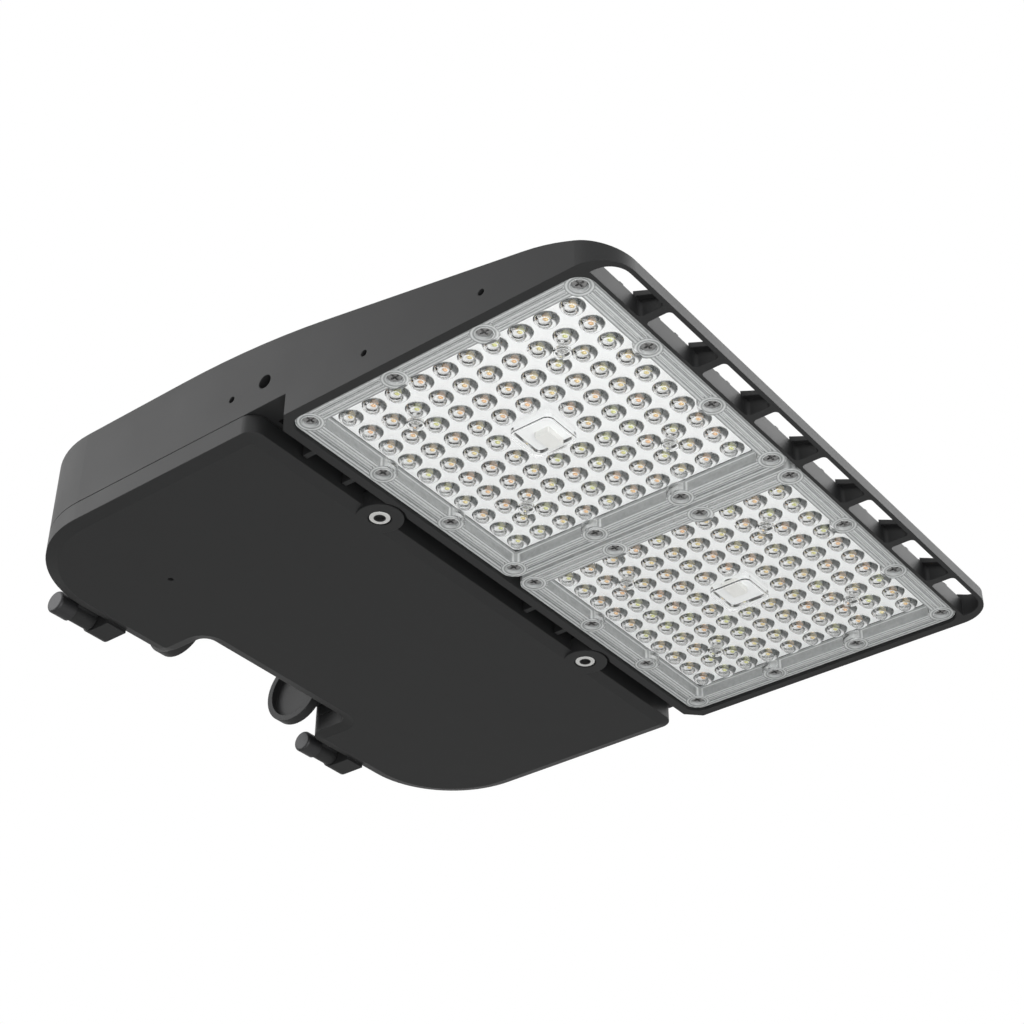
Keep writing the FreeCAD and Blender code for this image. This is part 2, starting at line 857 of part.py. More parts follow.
def housing_hinge_lugs(body):
    """A lug beside each door tab, hung from the rear wall."""
    for start, name in ((lug_start(size.right_tab), "right"), (lug_start(size.left_tab), "left")):
        web = new_sketch(body, "YZ_Plane", start, f"lug_web_{name}")
        draw_outline(web, [
            (rear + OVER, size.seam_level + size.lug_rise),
            (size.hinge_reach - size.lug_radius, size.hinge_level + size.lug_step),
            (size.hinge_reach - size.lug_radius, size.hinge_level),
            (size.hinge_reach + size.lug_radius, size.hinge_level),
            (rear - size.lug_step, size.seam_level),
            (rear + OVER, size.seam_level),
        ])
        pad(body, web, size.lug_width, f"lug_arm_{name}")
        barrel = new_sketch(body, "YZ_Plane", start, f"lug_barrel_plan_{name}")
        draw_circle(barrel, size.hinge_reach, size.hinge_level, size.lug_radius)
        pad(body, barrel, size.lug_width, f"lug_barrel_{name}")
        bore = new_sketch(body, "YZ_Plane", start - OVER, f"lug_bore_plan_{name}")
        draw_circle(bore, size.hinge_reach, size.hinge_level, size.pin_radius)
        pocket(body, bore, size.lug_width + OVER * 2, f"lug_bore_{name}")


def housing_cups(body):
    """Two round cups that face each other across the notch, each on a side web."""
    back_face = size.cup_inner_face + size.cup_thickness
    web_length = size.notch_half_width + OVER - (back_face - OVER)
    for side, name in ((1, "right"), (-1, "left")):
        mouth = size.cup_inner_face * side
        disc_start = mouth if side > 0 else -back_face
        web_start = back_face - OVER if side > 0 else -size.notch_half_width - OVER
        disc = new_sketch(body, "YZ_Plane", disc_start, f"cup_plan_{name}")
        draw_circle(disc, size.cup_reach, size.cup_level, size.cup_radius)
        pad(body, disc, size.cup_thickness, f"cup_{name}")
        web = new_sketch(body, "YZ_Plane", web_start, f"cup_web_plan_{name}")
        draw_outline(web, rectangle(size.cup_reach, size.cup_web_front,
                                    size.cup_web_low, size.cup_web_high))
        pad(body, web, web_length, f"cup_web_{name}")
        bore = new_sketch(body, "YZ_Plane", mouth, f"cup_bore_plan_{name}")
        draw_circle(bore, size.cup_reach, size.cup_level, size.cup_bore)
        pocket(body, bore, size.cup_depth, f"cup_bore_{name}", inward=side > 0)


def housing_arm_face(body):
    """Four bolt holes in bosses, and the wire hole, in the notch's front wall."""
    places = arm_hole_places()
    bosses = new_sketch(body, "XZ_Plane", OVER - size.wall, "arm_boss_plan")
    for across, up in places:
        draw_circle(bosses, across, up, size.arm_boss_radius)
    length = size.arm_hole_depth + size.boss_floor - size.wall + OVER
    feature = pad(body, bosses, length, "arm_bosses")
    feature.Reversed = True
    holes = new_sketch(body, "XZ_Plane", OVER, "arm_hole_plan")
    for across, up in places:
        draw_circle(holes, across, up, size.arm_hole_radius)
    pocket(body, holes, size.arm_hole_depth + OVER, "arm_holes", inward=False)
    wire = new_sketch(body, "XZ_Plane", OVER, "wire_hole_plan")
    draw_circle(wire, 0, 0, size.wire_hole_radius)
    pocket(body, wire, size.wall + OVER * 2, "wire_hole", inward=False)


def housing_side_holes(body):
    """Blind holes in both side walls, for a side bracket and a glare shield."""
    small = [
        (size.index_reach, size.index_level),
        (size.shield_near_reach, size.shield_level),
        (size.shield_far_reach, size.shield_level),
    ]
    boss_length = size.side_bolt_depth + size.boss_floor
    starts = (("left", OVER - size.half_width), ("right", size.half_width - OVER - boss_length))
    for name, start in starts:
        boss = new_sketch(body, "YZ_Plane", start, f"side_boss_plan_{name}")
        draw_circle(boss, size.side_bolt_reach, size.side_bolt_level, size.side_bolt_radius * 2)
        pad(body, boss, boss_length, f"side_boss_{name}")
    for start, inward, name in ((-size.half_width, True, "left"), (size.half_width, False, "right")):
        big = new_sketch(body, "YZ_Plane", start, f"side_bolt_plan_{name}")
        draw_circle(big, size.side_bolt_reach, size.side_bolt_level, size.side_bolt_radius)
        pocket(body, big, size.side_bolt_depth, f"side_bolt_{name}", inward=inward)
        little = new_sketch(body, "YZ_Plane", start, f"side_small_plan_{name}")
        for along, up in small:
            draw_circle(little, along, up, size.index_radius)
        pocket(body, little, size.index_depth, f"side_small_{name}", inward=inward)


def housing_ceiling_holes(body):
    """Blind holes in the box's ceiling for the screws of the electrical pieces."""
    holes = new_sketch(body, "XY_Plane", size.ceiling_level - OVER, "driver_hole_plan")
    for across, along in driver_screw_places():
        draw_circle(holes, across, along, size.driver_screw_radius + size.pin_play)
    draw_circle(holes, size.ground_offset, size.ground_reach, size.ground_shank_radius + size.pin_play)
    for across, along in terminal_screw_places() + surge_screw_places():
        draw_circle(holes, across, along, size.small_screw_radius + size.pin_play)
    pocket(body, holes, size.driver_screw_depth + OVER + size.pin_play, "ceiling_holes")


def make_housing():
    body = new_body("housing")
    housing_shell(body)
    housing_notch(body)
    housing_hinge_lugs(body)
    housing_cups(body)
    housing_box(body)
    housing_arm_face(body)
    housing_side_holes(body)
    housing_ceiling_holes(body)
    housing_groove(body)
    housing_slots(body)
    housing_fins(body)
    housing_tunnels(body)
    housing_pan(body)
    housing_lens_holes(body)
    keep(body, "housing")


# ---------------------------------------------------------------- door and its hardware


def door_thread_top():
    return tongue_top + size.retainer_thickness + size.screw_travel + size.thread_length


def lug_start(tab):
    """The lug stands just beyond the tab, on its +X side."""
    return tab + size.tab_width + size.hinge_gap


def arm_hole_places():
    across = size.arm_spacing_across / 2
    up = size.arm_spacing_up / 2
    return [(-across, -up), (-across, up), (across, -up), (across, up)]


def make_door():
    """A shallow tray with a bevelled edge, screw tongues and hinge tabs."""
    body = new_body("door")
    outer = new_sketch(body, "XY_Plane", size.rim_level, "door_plan")
    draw_outline(outer, plan(as_size(0), size.door_reach, size.door_corner))
    pad(body, outer, skirt_top - size.rim_level, "door_slab")
    doc.recompute()
    slab = body.Tip
    bevel = body.newObject("PartDesign::Chamfer", "door_bevel")
    bevel.ChamferType = "Two distances"
    low = size.rim_level.number
    bevel.Base = (slab, edge_names(slab.Shape, lambda edge: abs(edge.BoundBox.ZMax - low) < 0.01))
    bind(bevel, "Size", size.bevel_depth)
    bind(bevel, "Size2", size.bevel_width)
    doc.recompute()
    inside = new_sketch(body, "XY_Plane", door_floor_top, "door_room_plan")
    draw_outline(inside, plan(size.wall, room_front))
    pocket(body, inside, size.seam_level - door_floor_top, "door_room")
    channel = new_sketch(body, "XY_Plane", groove_bottom, "gasket_channel_plan")
    for sunk in (as_size(0), size.gasket_width):
        draw_outline(channel, plan(seal_lip + sunk, seal_front - sunk))
    pocket(body, channel, size.gasket_depth + size.seam_gap, "gasket_channel")
    tongues = new_sketch(body, "XY_Plane", size.rim_level, "tongue_plan")
    for across in door_screw_offsets().values():
        draw_circle(tongues, across, size.door_screw_reach, size.tongue_radius)
    pad(body, tongues, size.tongue_height, "tongues")
    seats = new_sketch(body, "XY_Plane", tongue_top, "retainer_seat_plan")
    heads = new_sketch(body, "XY_Plane", size.rim_level - OVER, "head_pocket_plan")
    necks = new_sketch(body, "XY_Plane", size.rim_level - OVER, "neck_hole_plan")
    for across in door_screw_offsets().values():
        draw_circle(seats, across, size.door_screw_reach, size.retainer_radius + size.hole_play)
        draw_circle(heads, across, size.door_screw_reach, size.door_head_radius + size.head_play)
        draw_circle(necks, across, size.door_screw_reach, size.neck_radius + size.hole_play)
    pocket(body, seats, size.seam_level - tongue_top, "retainer_seats")
    pocket(body, heads, size.door_head_pocket + OVER, "head_pockets")
    pocket(body, necks, size.tongue_height + OVER * 2, "neck_holes")
    weep = new_sketch(body, "XY_Plane", size.rim_level - OVER, "weep_plan")
    draw_circle(weep, size.weep_offset, size.weep_reach, size.weep_radius)
    pocket(body, weep, size.door_floor + OVER * 2, "weep_hole")
    for start, name in ((size.right_tab, "right"), (size.left_tab, "left")):
        arm = new_sketch(body, "YZ_Plane", start, f"tab_arm_plan_{name}")
        draw_outline(arm, rectangle(size.hinge_reach, rear + seal_lip / 2,
                                    size.rim_level, size.hinge_level + size.knuckle_radius))
        pad(body, arm, size.tab_width, f"tab_arm_{name}")
        knuckle = new_sketch(body, "YZ_Plane", start, f"knuckle_plan_{name}")
        draw_circle(knuckle, size.hinge_reach, size.hinge_level, size.knuckle_radius)
        pad(body, knuckle, size.tab_width, f"knuckle_{name}")
        bore = new_sketch(body, "YZ_Plane", start - OVER, f"knuckle_bore_plan_{name}")
        draw_circle(bore, size.hinge_reach, size.hinge_level, size.pin_radius + size.pin_play)
        pocket(body, bore, size.tab_width + OVER * 2, f"knuckle_bore_{name}")
    keep(body, "door")


def make_door_gasket():
    """The silicone seal in the door's channel, pressed on by the housing's edge."""
    body = new_body("door_gasket")
    ring = new_sketch(body, "XY_Plane", groove_bottom, "gasket_ring_plan")
    for sunk in (as_size(0), size.gasket_width):
        draw_outline(ring, plan(seal_lip + sunk, seal_front - sunk))
    pad(body, ring, size.seam_level - groove_bottom, "gasket_ring")
    keep(body, "door_gasket")


def make_hinge_pin(side, tab):
    """A headed pin, fast in the lug and free in the door's knuckle."""
    start = tab
    lug_end = lug_start(tab) + size.lug_width
    shank = rod(f"hinge_shank_{side}", (start, size.hinge_reach, size.hinge_level), "x",
                size.pin_radius, lug_end - start + OVER)
    head = rod(f"hinge_head_{side}", (lug_end, size.hinge_reach, size.hinge_level), "x",
               size.pin_head_radius, size.pin_head_length)
    pin = joined(f"hinge_solid_{side}", [shank, head])
    end = lug_end + size.pin_head_length
    round_end = softened(f"hinge_pin_round_{side}", pin,
                         lambda edge: abs(edge.BoundBox.Center.x - end.number) < 0.01,
                         size.pin_head_radius / 4)
    keep(round_end, f"hinge_pin_{side}")


def make_captive_screw(side, across):
    """A socket screw whose thin neck lets it hang in the door when undone."""
    reach = size.door_screw_reach
    head_low = size.rim_level + size.door_head_pocket - size.door_head_height
    head = rod(f"captive_head_{side}", (across, reach, head_low), "z",
               size.door_head_radius, size.door_head_height)
    neck_top = door_thread_top() - size.thread_length
    neck = rod(f"captive_neck_{side}", (across, reach, head_low + OVER), "z",
               size.neck_radius, neck_top - head_low)
    thread = rod(f"captive_thread_{side}", (across, reach, neck_top), "z",
                 size.thread_radius, size.thread_length)
    socket = doc.addObject("Part::Prism", f"captive_socket_{side}")
    socket.Polygon = 6
    bind(socket, "Circumradius", size.socket_radius)
    bind(socket, "Height", size.socket_depth + OVER)
    for letter, value in zip("xyz", (across, reach, head_low - OVER)):
        bind(socket, f"Placement.Base.{letter}", value)
    solid = joined(f"captive_solid_{side}", [head, neck, thread])
    hollow = cut_from(f"captive_cut_{side}", solid, [socket])
    rim = softened(f"captive_round_{side}", hollow,
                   lambda edge: edge.BoundBox.XLength > 2 * size.door_head_radius.number - 0.1
                   and abs(edge.BoundBox.Center.z - head_low.number) < 0.01,
                   size.door_head_height / 5)
    keep(rim, f"captive_screw_{side}")


def make_retainers():
    """The washers on the tongues that stop the screws from falling out."""
    disc = rod("retainer_disc", (0, size.door_screw_reach, tongue_top), "z",
               size.retainer_radius, size.retainer_thickness)
    hole = rod("retainer_hole", (0, size.door_screw_reach, tongue_top - OVER), "z",
               size.neck_radius + size.hole_play, size.retainer_thickness + OVER * 2)
    washer = cut_from("retainer_washer", disc, [hole])
    places = [(across, 0, 0) for across in door_screw_offsets().values()]
    copies("screw_retainers", washer, places)


# ---------------------------------------------------------------- LED modules


def make_lens(side, centre):
    """A clear moulding: ridged border, screw towers, 96 domes and a window."""
    body = new_body(f"lens_plate_{side}")
    middle = size.module_reach
    plate = new_sketch(body, "XY_Plane", size.border_level, "plate_plan")
    draw_outline(plate, square(centre, middle, size.lens_half, size.lens_corner))
    pad(body, plate, border_top - size.border_level, "plate")
    field_half = size.lens_half - size.border_width
    sunk = new_sketch(body, "XY_Plane", size.border_level - OVER, "field_plan")
    draw_outline(sunk, square(centre, middle, field_half, size.window_corner))
    pocket(body, sunk, size.field_level - size.border_level + OVER, "field")
    ridges = new_sketch(body, "XY_Plane", size.border_level - OVER, "ridge_plan")
    for part in (0.3, 0.6):
        edge = size.lens_half - size.border_width * part
        turn = size.lens_corner - size.border_width * part
        draw_outline(ridges, square(centre, middle, edge, turn))
        draw_outline(ridges, square(centre, middle, edge - size.border_groove,
                                    turn - size.border_groove))
    pocket(body, ridges, size.border_groove_depth + OVER, "ridges")
    towers = new_sketch(body, "XY_Plane", size.border_level, "tower_plan")
    sinks = new_sketch(body, "XY_Plane", size.border_level - OVER, "head_sink_plan")
    bores = new_sketch(body, "XY_Plane", size.border_level - OVER, "screw_bore_plan")
    for across, along in lens_screw_places():
        draw_circle(towers, centre + across, middle + along, size.screw_tower)
        draw_circle(sinks, centre + across, middle + along, size.lens_head_radius + size.hole_play)
        draw_circle(bores, centre + across, middle + along, size.lens_shank_radius + size.hole_play)
    pad(body, towers, border_top - size.border_level, "towers")
    pocket(body, sinks, size.lens_head_sink + size.lens_head_height + OVER, "head_sinks")
    pocket(body, bores, border_top - size.border_level + OVER * 2, "screw_bores")

    pin_level = size.field_level - size.pin_tower_height
    pins = new_sketch(body, "XY_Plane", pin_level, "pin_tower_plan")
    pin_holes = new_sketch(body, "XY_Plane", pin_level + size.pin_tower_wall, "pin_hole_plan")
    for across, along in board_screw_places():
        draw_circle(pins, centre + across, middle + along, size.pin_tower)
        draw_circle(pin_holes, centre + across, middle + along, size.pin_tower - size.pin_tower_wall)
    pad(body, pins, size.pin_tower_height + size.field_thickness, "pin_towers")
    pocket(body, pin_holes, size.pin_tower_height + size.field_thickness, "pin_holes")

    half_grid = size.led_pitch * (size.leds_per_row - 1) / 2
    profile = new_sketch(body, "XZ_Plane", half_grid - middle, "dome_profile")
    bind(profile, "AttachmentOffset.Base.x", centre - half_grid)
    draw_dome(profile)
    dome = body.newObject("PartDesign::Revolution", "dome")
    dome.Profile = profile
    dome.ReferenceAxis = (profile, ["V_Axis"])
    dome.Angle = 360
    grid = body.newObject("PartDesign::MultiTransform", "dome_grid")
    lines = []
    for axis in ("X_Axis", "Y_Axis"):
        line = body.newObject("PartDesign::LinearPattern", f"dome_row_{axis[0]}")
        support = [item for item in body.Origin.OriginFeatures if item.Role == axis]
        line.Direction = (support[0], [""])
        bind(line, "Length", half_grid * 2)
        bind(line, "Occurrences", size.leds_per_row)
        lines.append(line)
    grid.Originals = [dome]
    grid.Transformations = lines
    body.Tip = grid

    clear = new_sketch(body, "XY_Plane", size.border_level - OVER, "window_clear_plan")
    draw_outline(clear, square(centre, middle, size.led_pitch, size.window_corner / 2))
    pocket(body, clear, size.field_level - size.border_level + OVER, "window_clear")
    box = new_sketch(body, "XY_Plane", size.field_level - size.window_height, "window_plan")
    draw_outline(box, square(centre, middle, size.window_half, size.window_corner))
    pad(body, box, size.window_height, "window")
    room_bottom = size.field_level - size.window_height + size.window_wall
    room = new_sketch(body, "XY_Plane", room_bottom, "window_room_plan")
    draw_outline(room, square(centre, middle, size.window_half - size.window_wall,
                              size.window_corner - size.window_wall))
    pocket(body, room, size.window_height + size.field_thickness, "window_room")
    keep(body, f"lens_plate_{side}")


def draw_dome(sketch):
    """Half the section of a dome that stands on the field, pointing down."""
    radius = size.dome_radius
    height = size.dome_height
    face = size.field_level
    ball = (radius.number ** 2 + height.number ** 2) / (2 * height.number)
    tip = face - height
    centre = Vector(0, tip.number + ball, 0)
    start = Vector(0, tip.number, 0)
    end = Vector(radius.number, face.number, 0)
    half_way = math.atan2(radius.number, ball - height.number) / 2
    middle = centre + Vector(math.sin(half_way), -math.cos(half_way), 0) * ball
    arc = sketch.addGeometry(Part.Arc(start, middle, end))
    root = face + size.field_thickness / 2
    corners = [(radius, face), (radius, root), (as_size(0), root), (as_size(0), tip)]
    lines = []
    for first, last in zip(corners, corners[1:]):
        begin = Vector(first[0].number, first[1].number, 0)
        finish = Vector(last[0].number, last[1].number, 0)
        line = sketch.addGeometry(Part.LineSegment(begin, finish))
        hold(sketch, "DistanceX", (-1, 1, line, 1), first[0])
        hold(sketch, "DistanceY", (-1, 1, line, 1), first[1])
        lines.append(line)
    hold(sketch, "DistanceX", (-1, 1, lines[-1], 2), corners[-1][0])
    hold(sketch, "DistanceY", (-1, 1, lines[-1], 2), corners[-1][1])
    for before, after in zip(lines, lines[1:]):
        sketch.addConstraint(Sketcher.Constraint("Coincident", before, 2, after, 1))
    sketch.addConstraint(Sketcher.Constraint("Coincident", arc, 2, lines[0], 1))
    sketch.addConstraint(Sketcher.Constraint("Coincident", arc, 1, lines[-1], 2))
    radius_formula = (radius * radius + height * height) / (height * 2)
    hold(sketch, "Radius", (arc,), radius_formula)


def make_lens_gasket(side, centre):
    """A flat silicone ring between the lens border and the pan's floor."""
    body = new_body(f"lens_gasket_{side}")
    outer = size.lens_half - size.seal_inset
    turn = size.lens_corner - size.seal_inset
    ring = new_sketch(body, "XY_Plane", border_top, "seal_plan")
    draw_outline(ring, square(centre, size.module_reach, outer, turn))
    draw_outline(ring, square(centre, size.module_reach, outer - size.seal_width,
                              turn - size.seal_width))
    pad(body, ring, size.seat_level - border_top, "seal")
    keep(body, f"lens_gasket_{side}")


def make_board(side, centre):
    """The white metal-core board, with a hole for its lead and four for its screws."""
    lead = lead_places()[side]
    body = new_body(f"led_board_{side}")
    outline = new_sketch(body, "XY_Plane", board_face, "board_plan")
    draw_outline(outline, square(centre, size.module_reach, size.board_half, size.window_corner))
    draw_circle(outline, lead, size.module_reach, size.tunnel_bore)
    for across, along in board_screw_places():
        draw_circle(outline, centre + across, size.module_reach + along,
                    size.board_shank_radius + size.hole_play)
    pad(body, outline, size.board_thickness, "board")
    keep(body, f"led_board_{side}")


def make_chips(side, centre):
    """The LED packages on a board."""
    half = size.chip_side / 2
    chip = block(f"chip_{side}", (centre - half, size.module_reach - half, board_face - size.chip_height),
                 (centre + half, size.module_reach + half, board_face))
    copies(f"led_chips_{side}", chip, [(across, along, 0) for across, along in led_places()])


def make_connector(side):
    """The plug-in connector under the window, bored for the lead."""
    lead = lead_places()[side]
    inboard = size.module_offset - size.connector_shift
    centre = inboard if side == "right" else -inboard
    half = size.connector_length / 2
    side_half = size.connector_width / 2
    low = board_face - size.connector_height
    solid = block(f"connector_block_{side}", (centre - half, size.module_reach - side_half, low),
                  (centre + half, size.module_reach + side_half, board_face))
    entry = rod(f"connector_entry_{side}", (lead, size.module_reach, low + size.connector_floor), "z",
                size.lead_radius, size.connector_height)
    drilled = cut_from(f"connector_cut_{side}", solid, [entry])
    shape = softened(f"connector_round_{side}", drilled,
                     lambda edge: passes(edge, "z") and edge.BoundBox.ZLength > 1, size.connector_corner)
    keep(shape, f"board_connector_{side}")


# The cross slot of a screw head, as shares of the head's radius and height.
SLOT_REACH = 0.62
SLOT_HALF = 0.16
SLOT_DEPTH = 0.6


def make_screw(name, low, head_radius, head_height, shank_radius, length):
    """A pan-head screw that points up, with a cross slot."""
    head = rod(name + "_head", (0, 0, low), "z", head_radius, head_height)
    shank = rod(name + "_shank", (0, 0, low + head_height / 2), "z",
                shank_radius, length + head_height / 2)
    solid = joined(name + "_solid", [head, shank])
    shaped = softened(name + "_round", solid,
                      lambda edge: abs(edge.BoundBox.Center.z - as_size(low).number) < 0.01
                      and edge.BoundBox.XLength > 1, head_height / 3)
    arm = head_radius * SLOT_REACH
    thin = head_radius * SLOT_HALF
    deep = head_height * SLOT_DEPTH
    first = block(name + "_slot_a", (-arm, -thin, as_size(low) - OVER), (arm, thin, as_size(low) + deep))
    second = block(name + "_slot_b", (-thin, -arm, as_size(low) - OVER), (thin, arm, as_size(low) + deep))
    return cut_from(name, shaped, [first, second])


def make_lens_screws():
    low = size.border_level + size.lens_head_sink
    shank = size.screw_end_level - low - size.lens_head_height
    screw = make_screw("lens_screw", low, size.lens_head_radius, size.lens_head_height,
                       size.lens_shank_radius, shank)
    places = []
    for centre in module_centres().values():
        for across, along in lens_screw_places():
            places.append((centre + across, size.module_reach + along, 0))
    copies("lens_screws", screw, places)


def make_board_screws():
    low = board_face - size.board_head_height
    screw = make_screw("board_screw", low, size.board_head_radius, size.board_head_height,
                       size.board_shank_radius, size.board_thickness + size.board_screw_depth)
    places = []
    for centre in module_centres().values():
        for across, along in board_screw_places():
            places.append((centre + across, size.module_reach + along, 0))
    copies("board_screws", screw, places)


# ---------------------------------------------------------------- inside the rear box


def driver_screw_places():
    across = size.driver_half_length + size.flange_length / 2
    back = size.driver_back + size.driver_width / 4
    front = size.driver_back + size.driver_width * 3 / 4
    return [(side, along) for side in (-across, across) for along in (back, front)]


def terminal_screw_places():
    half = (size.terminal_length - size.terminal_ear_length) / 2
    return [(size.terminal_offset - half, size.terminal_reach),
            (size.terminal_offset + half, size.terminal_reach)]


def surge_screw_places():
    half = (size.surge_length + size.surge_ear_length) / 2
    return [(size.surge_offset - half, size.surge_reach),
            (size.surge_offset + half, size.surge_reach)]


def make_driver():
    """The LED driver: a metal case on end flanges, screwed to the ceiling."""
    top = size.ceiling_level
    case = block("driver_case", (-size.driver_half_length, size.driver_back, top - size.driver_height),
                 (size.driver_half_length, size.driver_back + size.driver_width, top))
    soft = softened("driver_case_round", case, lambda edge: passes(edge, "x") or passes(edge, "z"),
                    size.driver_edge)
    reach = size.driver_half_length + size.flange_length
    flange = block("driver_flange", (-reach, size.driver_back + size.driver_shoulder,
                                    top - size.flange_thickness),
                   (reach, size.driver_back + size.driver_width - size.driver_shoulder, top))
    holes = [rod(f"driver_hole_{index}", (across, along, top - size.flange_thickness - OVER), "z",
                 size.driver_screw_radius + size.hole_play, size.flange_thickness + OVER * 2)
             for index, (across, along) in enumerate(driver_screw_places())]
    keep(cut_from("driver_drilled", joined("driver_solid", [soft, flange]), holes), "led_driver")


def make_driver_screws():
    low = size.ceiling_level - size.flange_thickness - size.driver_head_height
    screw = make_screw("driver_screw", low, size.driver_head_radius, size.driver_head_height,
                       size.driver_screw_radius, size.flange_thickness + size.driver_screw_depth)
    copies("driver_screws", screw, [(across, along, 0) for across, along in driver_screw_places()])


def terminal_way_offsets():
    count = int(size.terminal_ways.number)
    return [size.terminal_way_pitch * (way - (count - 1) / 2) for way in range(count)]


def make_terminal_block():
    """A three-way terminal block with wire entries towards the driver."""
    top = size.ceiling_level
    low = top - size.terminal_height
    base_low = top - size.terminal_base_height
    left = size.terminal_offset - size.terminal_length / 2
    right = size.terminal_offset + size.terminal_length / 2
    back = size.terminal_reach - size.terminal_width / 2
    front = size.terminal_reach + size.terminal_width / 2
    base = block("terminal_base", (left, back, base_low), (right, front, top))
    tower = block("terminal_tower", (left + size.terminal_ear_length, back, low),
                  (right - size.terminal_ear_length, front, base_low + OVER))
    tools = []
    for index, offset in enumerate(terminal_way_offsets()):
        across = size.terminal_offset + offset
        tools.append(rod(f"terminal_entry_{index}", (across, front - size.terminal_entry_depth,
                         supply_lead_level()), "y", size.supply_lead_radius,
                         size.terminal_entry_depth + OVER))
        tools.append(rod(f"terminal_clamp_{index}", (across, size.terminal_reach, low - OVER), "z",
                         size.terminal_clamp_radius, size.terminal_clamp_depth + OVER))
    for index, (across, along) in enumerate(terminal_screw_places()):
        tools.append(rod(f"terminal_fixing_{index}", (across, along, base_low - OVER), "z",
                         size.small_screw_radius + size.hole_play,
                         size.terminal_base_height + OVER * 2))
    solid = joined("terminal_solid", [base, tower])
    keep(cut_from("terminal_cut", solid, tools), "terminal_block")
    screw = make_screw("terminal_screw", base_low - size.small_head_height, size.small_head_radius,
                       size.small_head_height, size.small_screw_radius,
                       size.terminal_base_height + size.driver_screw_depth)
    copies("terminal_screws", screw,
           [(across, along, 0) for across, along in terminal_screw_places()])


def make_surge_protector():
    """A potted surge protector on two ears, screwed to the ceiling."""
    top = size.ceiling_level
    ear_low = top - size.ear_thickness
    half_length = size.surge_length / 2
    half_width = size.surge_width / 2
    ear_end = half_length + size.surge_ear_length
    ear_half = size.surge_ear_width / 2
    case = block("surge_case", (size.surge_offset - half_length, size.surge_reach - half_width,
                                top - size.surge_height),
                 (size.surge_offset + half_length, size.surge_reach + half_width, top))
    soft = softened("surge_case_round", case, lambda edge: passes(edge, "z"), size.surge_corner)
    ear = block("surge_ears", (size.surge_offset - ear_end, size.surge_reach - ear_half, ear_low),
                (size.surge_offset + ear_end, size.surge_reach + ear_half, top))
    holes = [rod(f"surge_hole_{index}", (across, along, ear_low - OVER), "z",
                 size.small_screw_radius + size.hole_play, size.ear_thickness + OVER * 2)
             for index, (across, along) in enumerate(surge_screw_places())]
    keep(cut_from("surge_cut", joined("surge_solid", [soft, ear]), holes), "surge_protector")
    screw = make_screw("surge_screw", ear_low - size.small_head_height, size.small_head_radius,
                       size.small_head_height, size.small_screw_radius,
                       size.ear_thickness + size.driver_screw_depth)
    copies("surge_screws", screw, [(across, along, 0) for across, along in surge_screw_places()])


def make_ground_screw():
    low = size.ceiling_level - size.ground_head_height
    screw = make_screw("ground_screw_piece", low, size.ground_head_radius, size.ground_head_height,
                       size.ground_shank_radius, size.ground_depth)
    copies("ground_screw", screw, [(size.ground_offset, size.ground_reach, 0)])


def make_grommet():
    """The rubber grommet that lines the wire hole."""
    outer = rod("grommet_body", (0, 0, 0), "y", size.wire_hole_radius, size.wall)
    lip = rod("grommet_flange_disc", (0, size.wall, 0), "y",
              size.wire_hole_radius + size.grommet_flange, size.grommet_lip)
    hole = rod("grommet_hole", (0, -OVER, 0), "y", size.wire_hole_radius - size.grommet_wall,
               size.wall + size.grommet_lip + OVER * 2)
    keep(cut_from("grommet_cut", joined("grommet_solid", [outer, lip]), [hole]), "wire_grommet")


def make_led_lead(side):
    """The lead from the driver's face, through the tunnel, down to the connector."""
    centre = lead_places()[side]
    start = size.driver_back + size.driver_width
    level = size.tunnel_level.number
    bend = size.lead_bend.number
    turn = Vector(centre.number, size.module_reach.number, level)
    low = (board_face - size.connector_height + size.connector_floor).number
    first = Vector(centre.number, start.number, level)
    before = turn - Vector(0, bend, 0)
    after = turn - Vector(0, 0, bend)
    slant = math.sqrt(0.5) * bend
    middle = Vector(turn.x, turn.y - bend + slant, turn.z - bend + slant)
    last = Vector(turn.x, turn.y, low)
    path = Part.Wire([
        Part.LineSegment(first, before).toShape(),
        Part.Arc(before, middle, after).toShape(),
        Part.LineSegment(after, last).toShape(),
    ])
    ring = Part.Wire(Part.Circle(first, Vector(0, 1, 0), size.lead_radius.number).toShape())
    lead = doc.addObject("Part::Feature", f"led_lead_{side}")
    lead.Shape = path.makePipeShell([ring], True, False)
    keep(lead, f"led_lead_{side}")


def supply_lead_level():
    return size.ceiling_level - size.terminal_height * 2 / 3


def make_supply_leads():
    """Three leads from the terminal block to the driver."""
    start = size.terminal_reach + size.terminal_width / 2 - size.terminal_entry_depth
    leads = [rod(f"supply_lead_{index}", (size.terminal_offset + offset, start, supply_lead_level()),
                 "y", size.supply_lead_radius, size.driver_back - start)
             for index, offset in enumerate(terminal_way_offsets())]
    several("supply_leads", leads)


def make_surge_leads():
    """Two leads from the surge protector to the terminal block."""
    start = size.surge_offset + size.surge_length / 2
    end = size.terminal_offset - size.terminal_length / 2 + size.terminal_ear_length
    leads = [rod(f"surge_lead_{index}", (start, size.terminal_reach + shift, supply_lead_level()),
                 "x", size.supply_lead_radius, end - start)
             for index, shift in enumerate((as_size(0), size.surge_lead_spacing))]
    several("surge_leads", leads)


# ---------------------------------------------------------------- build and write

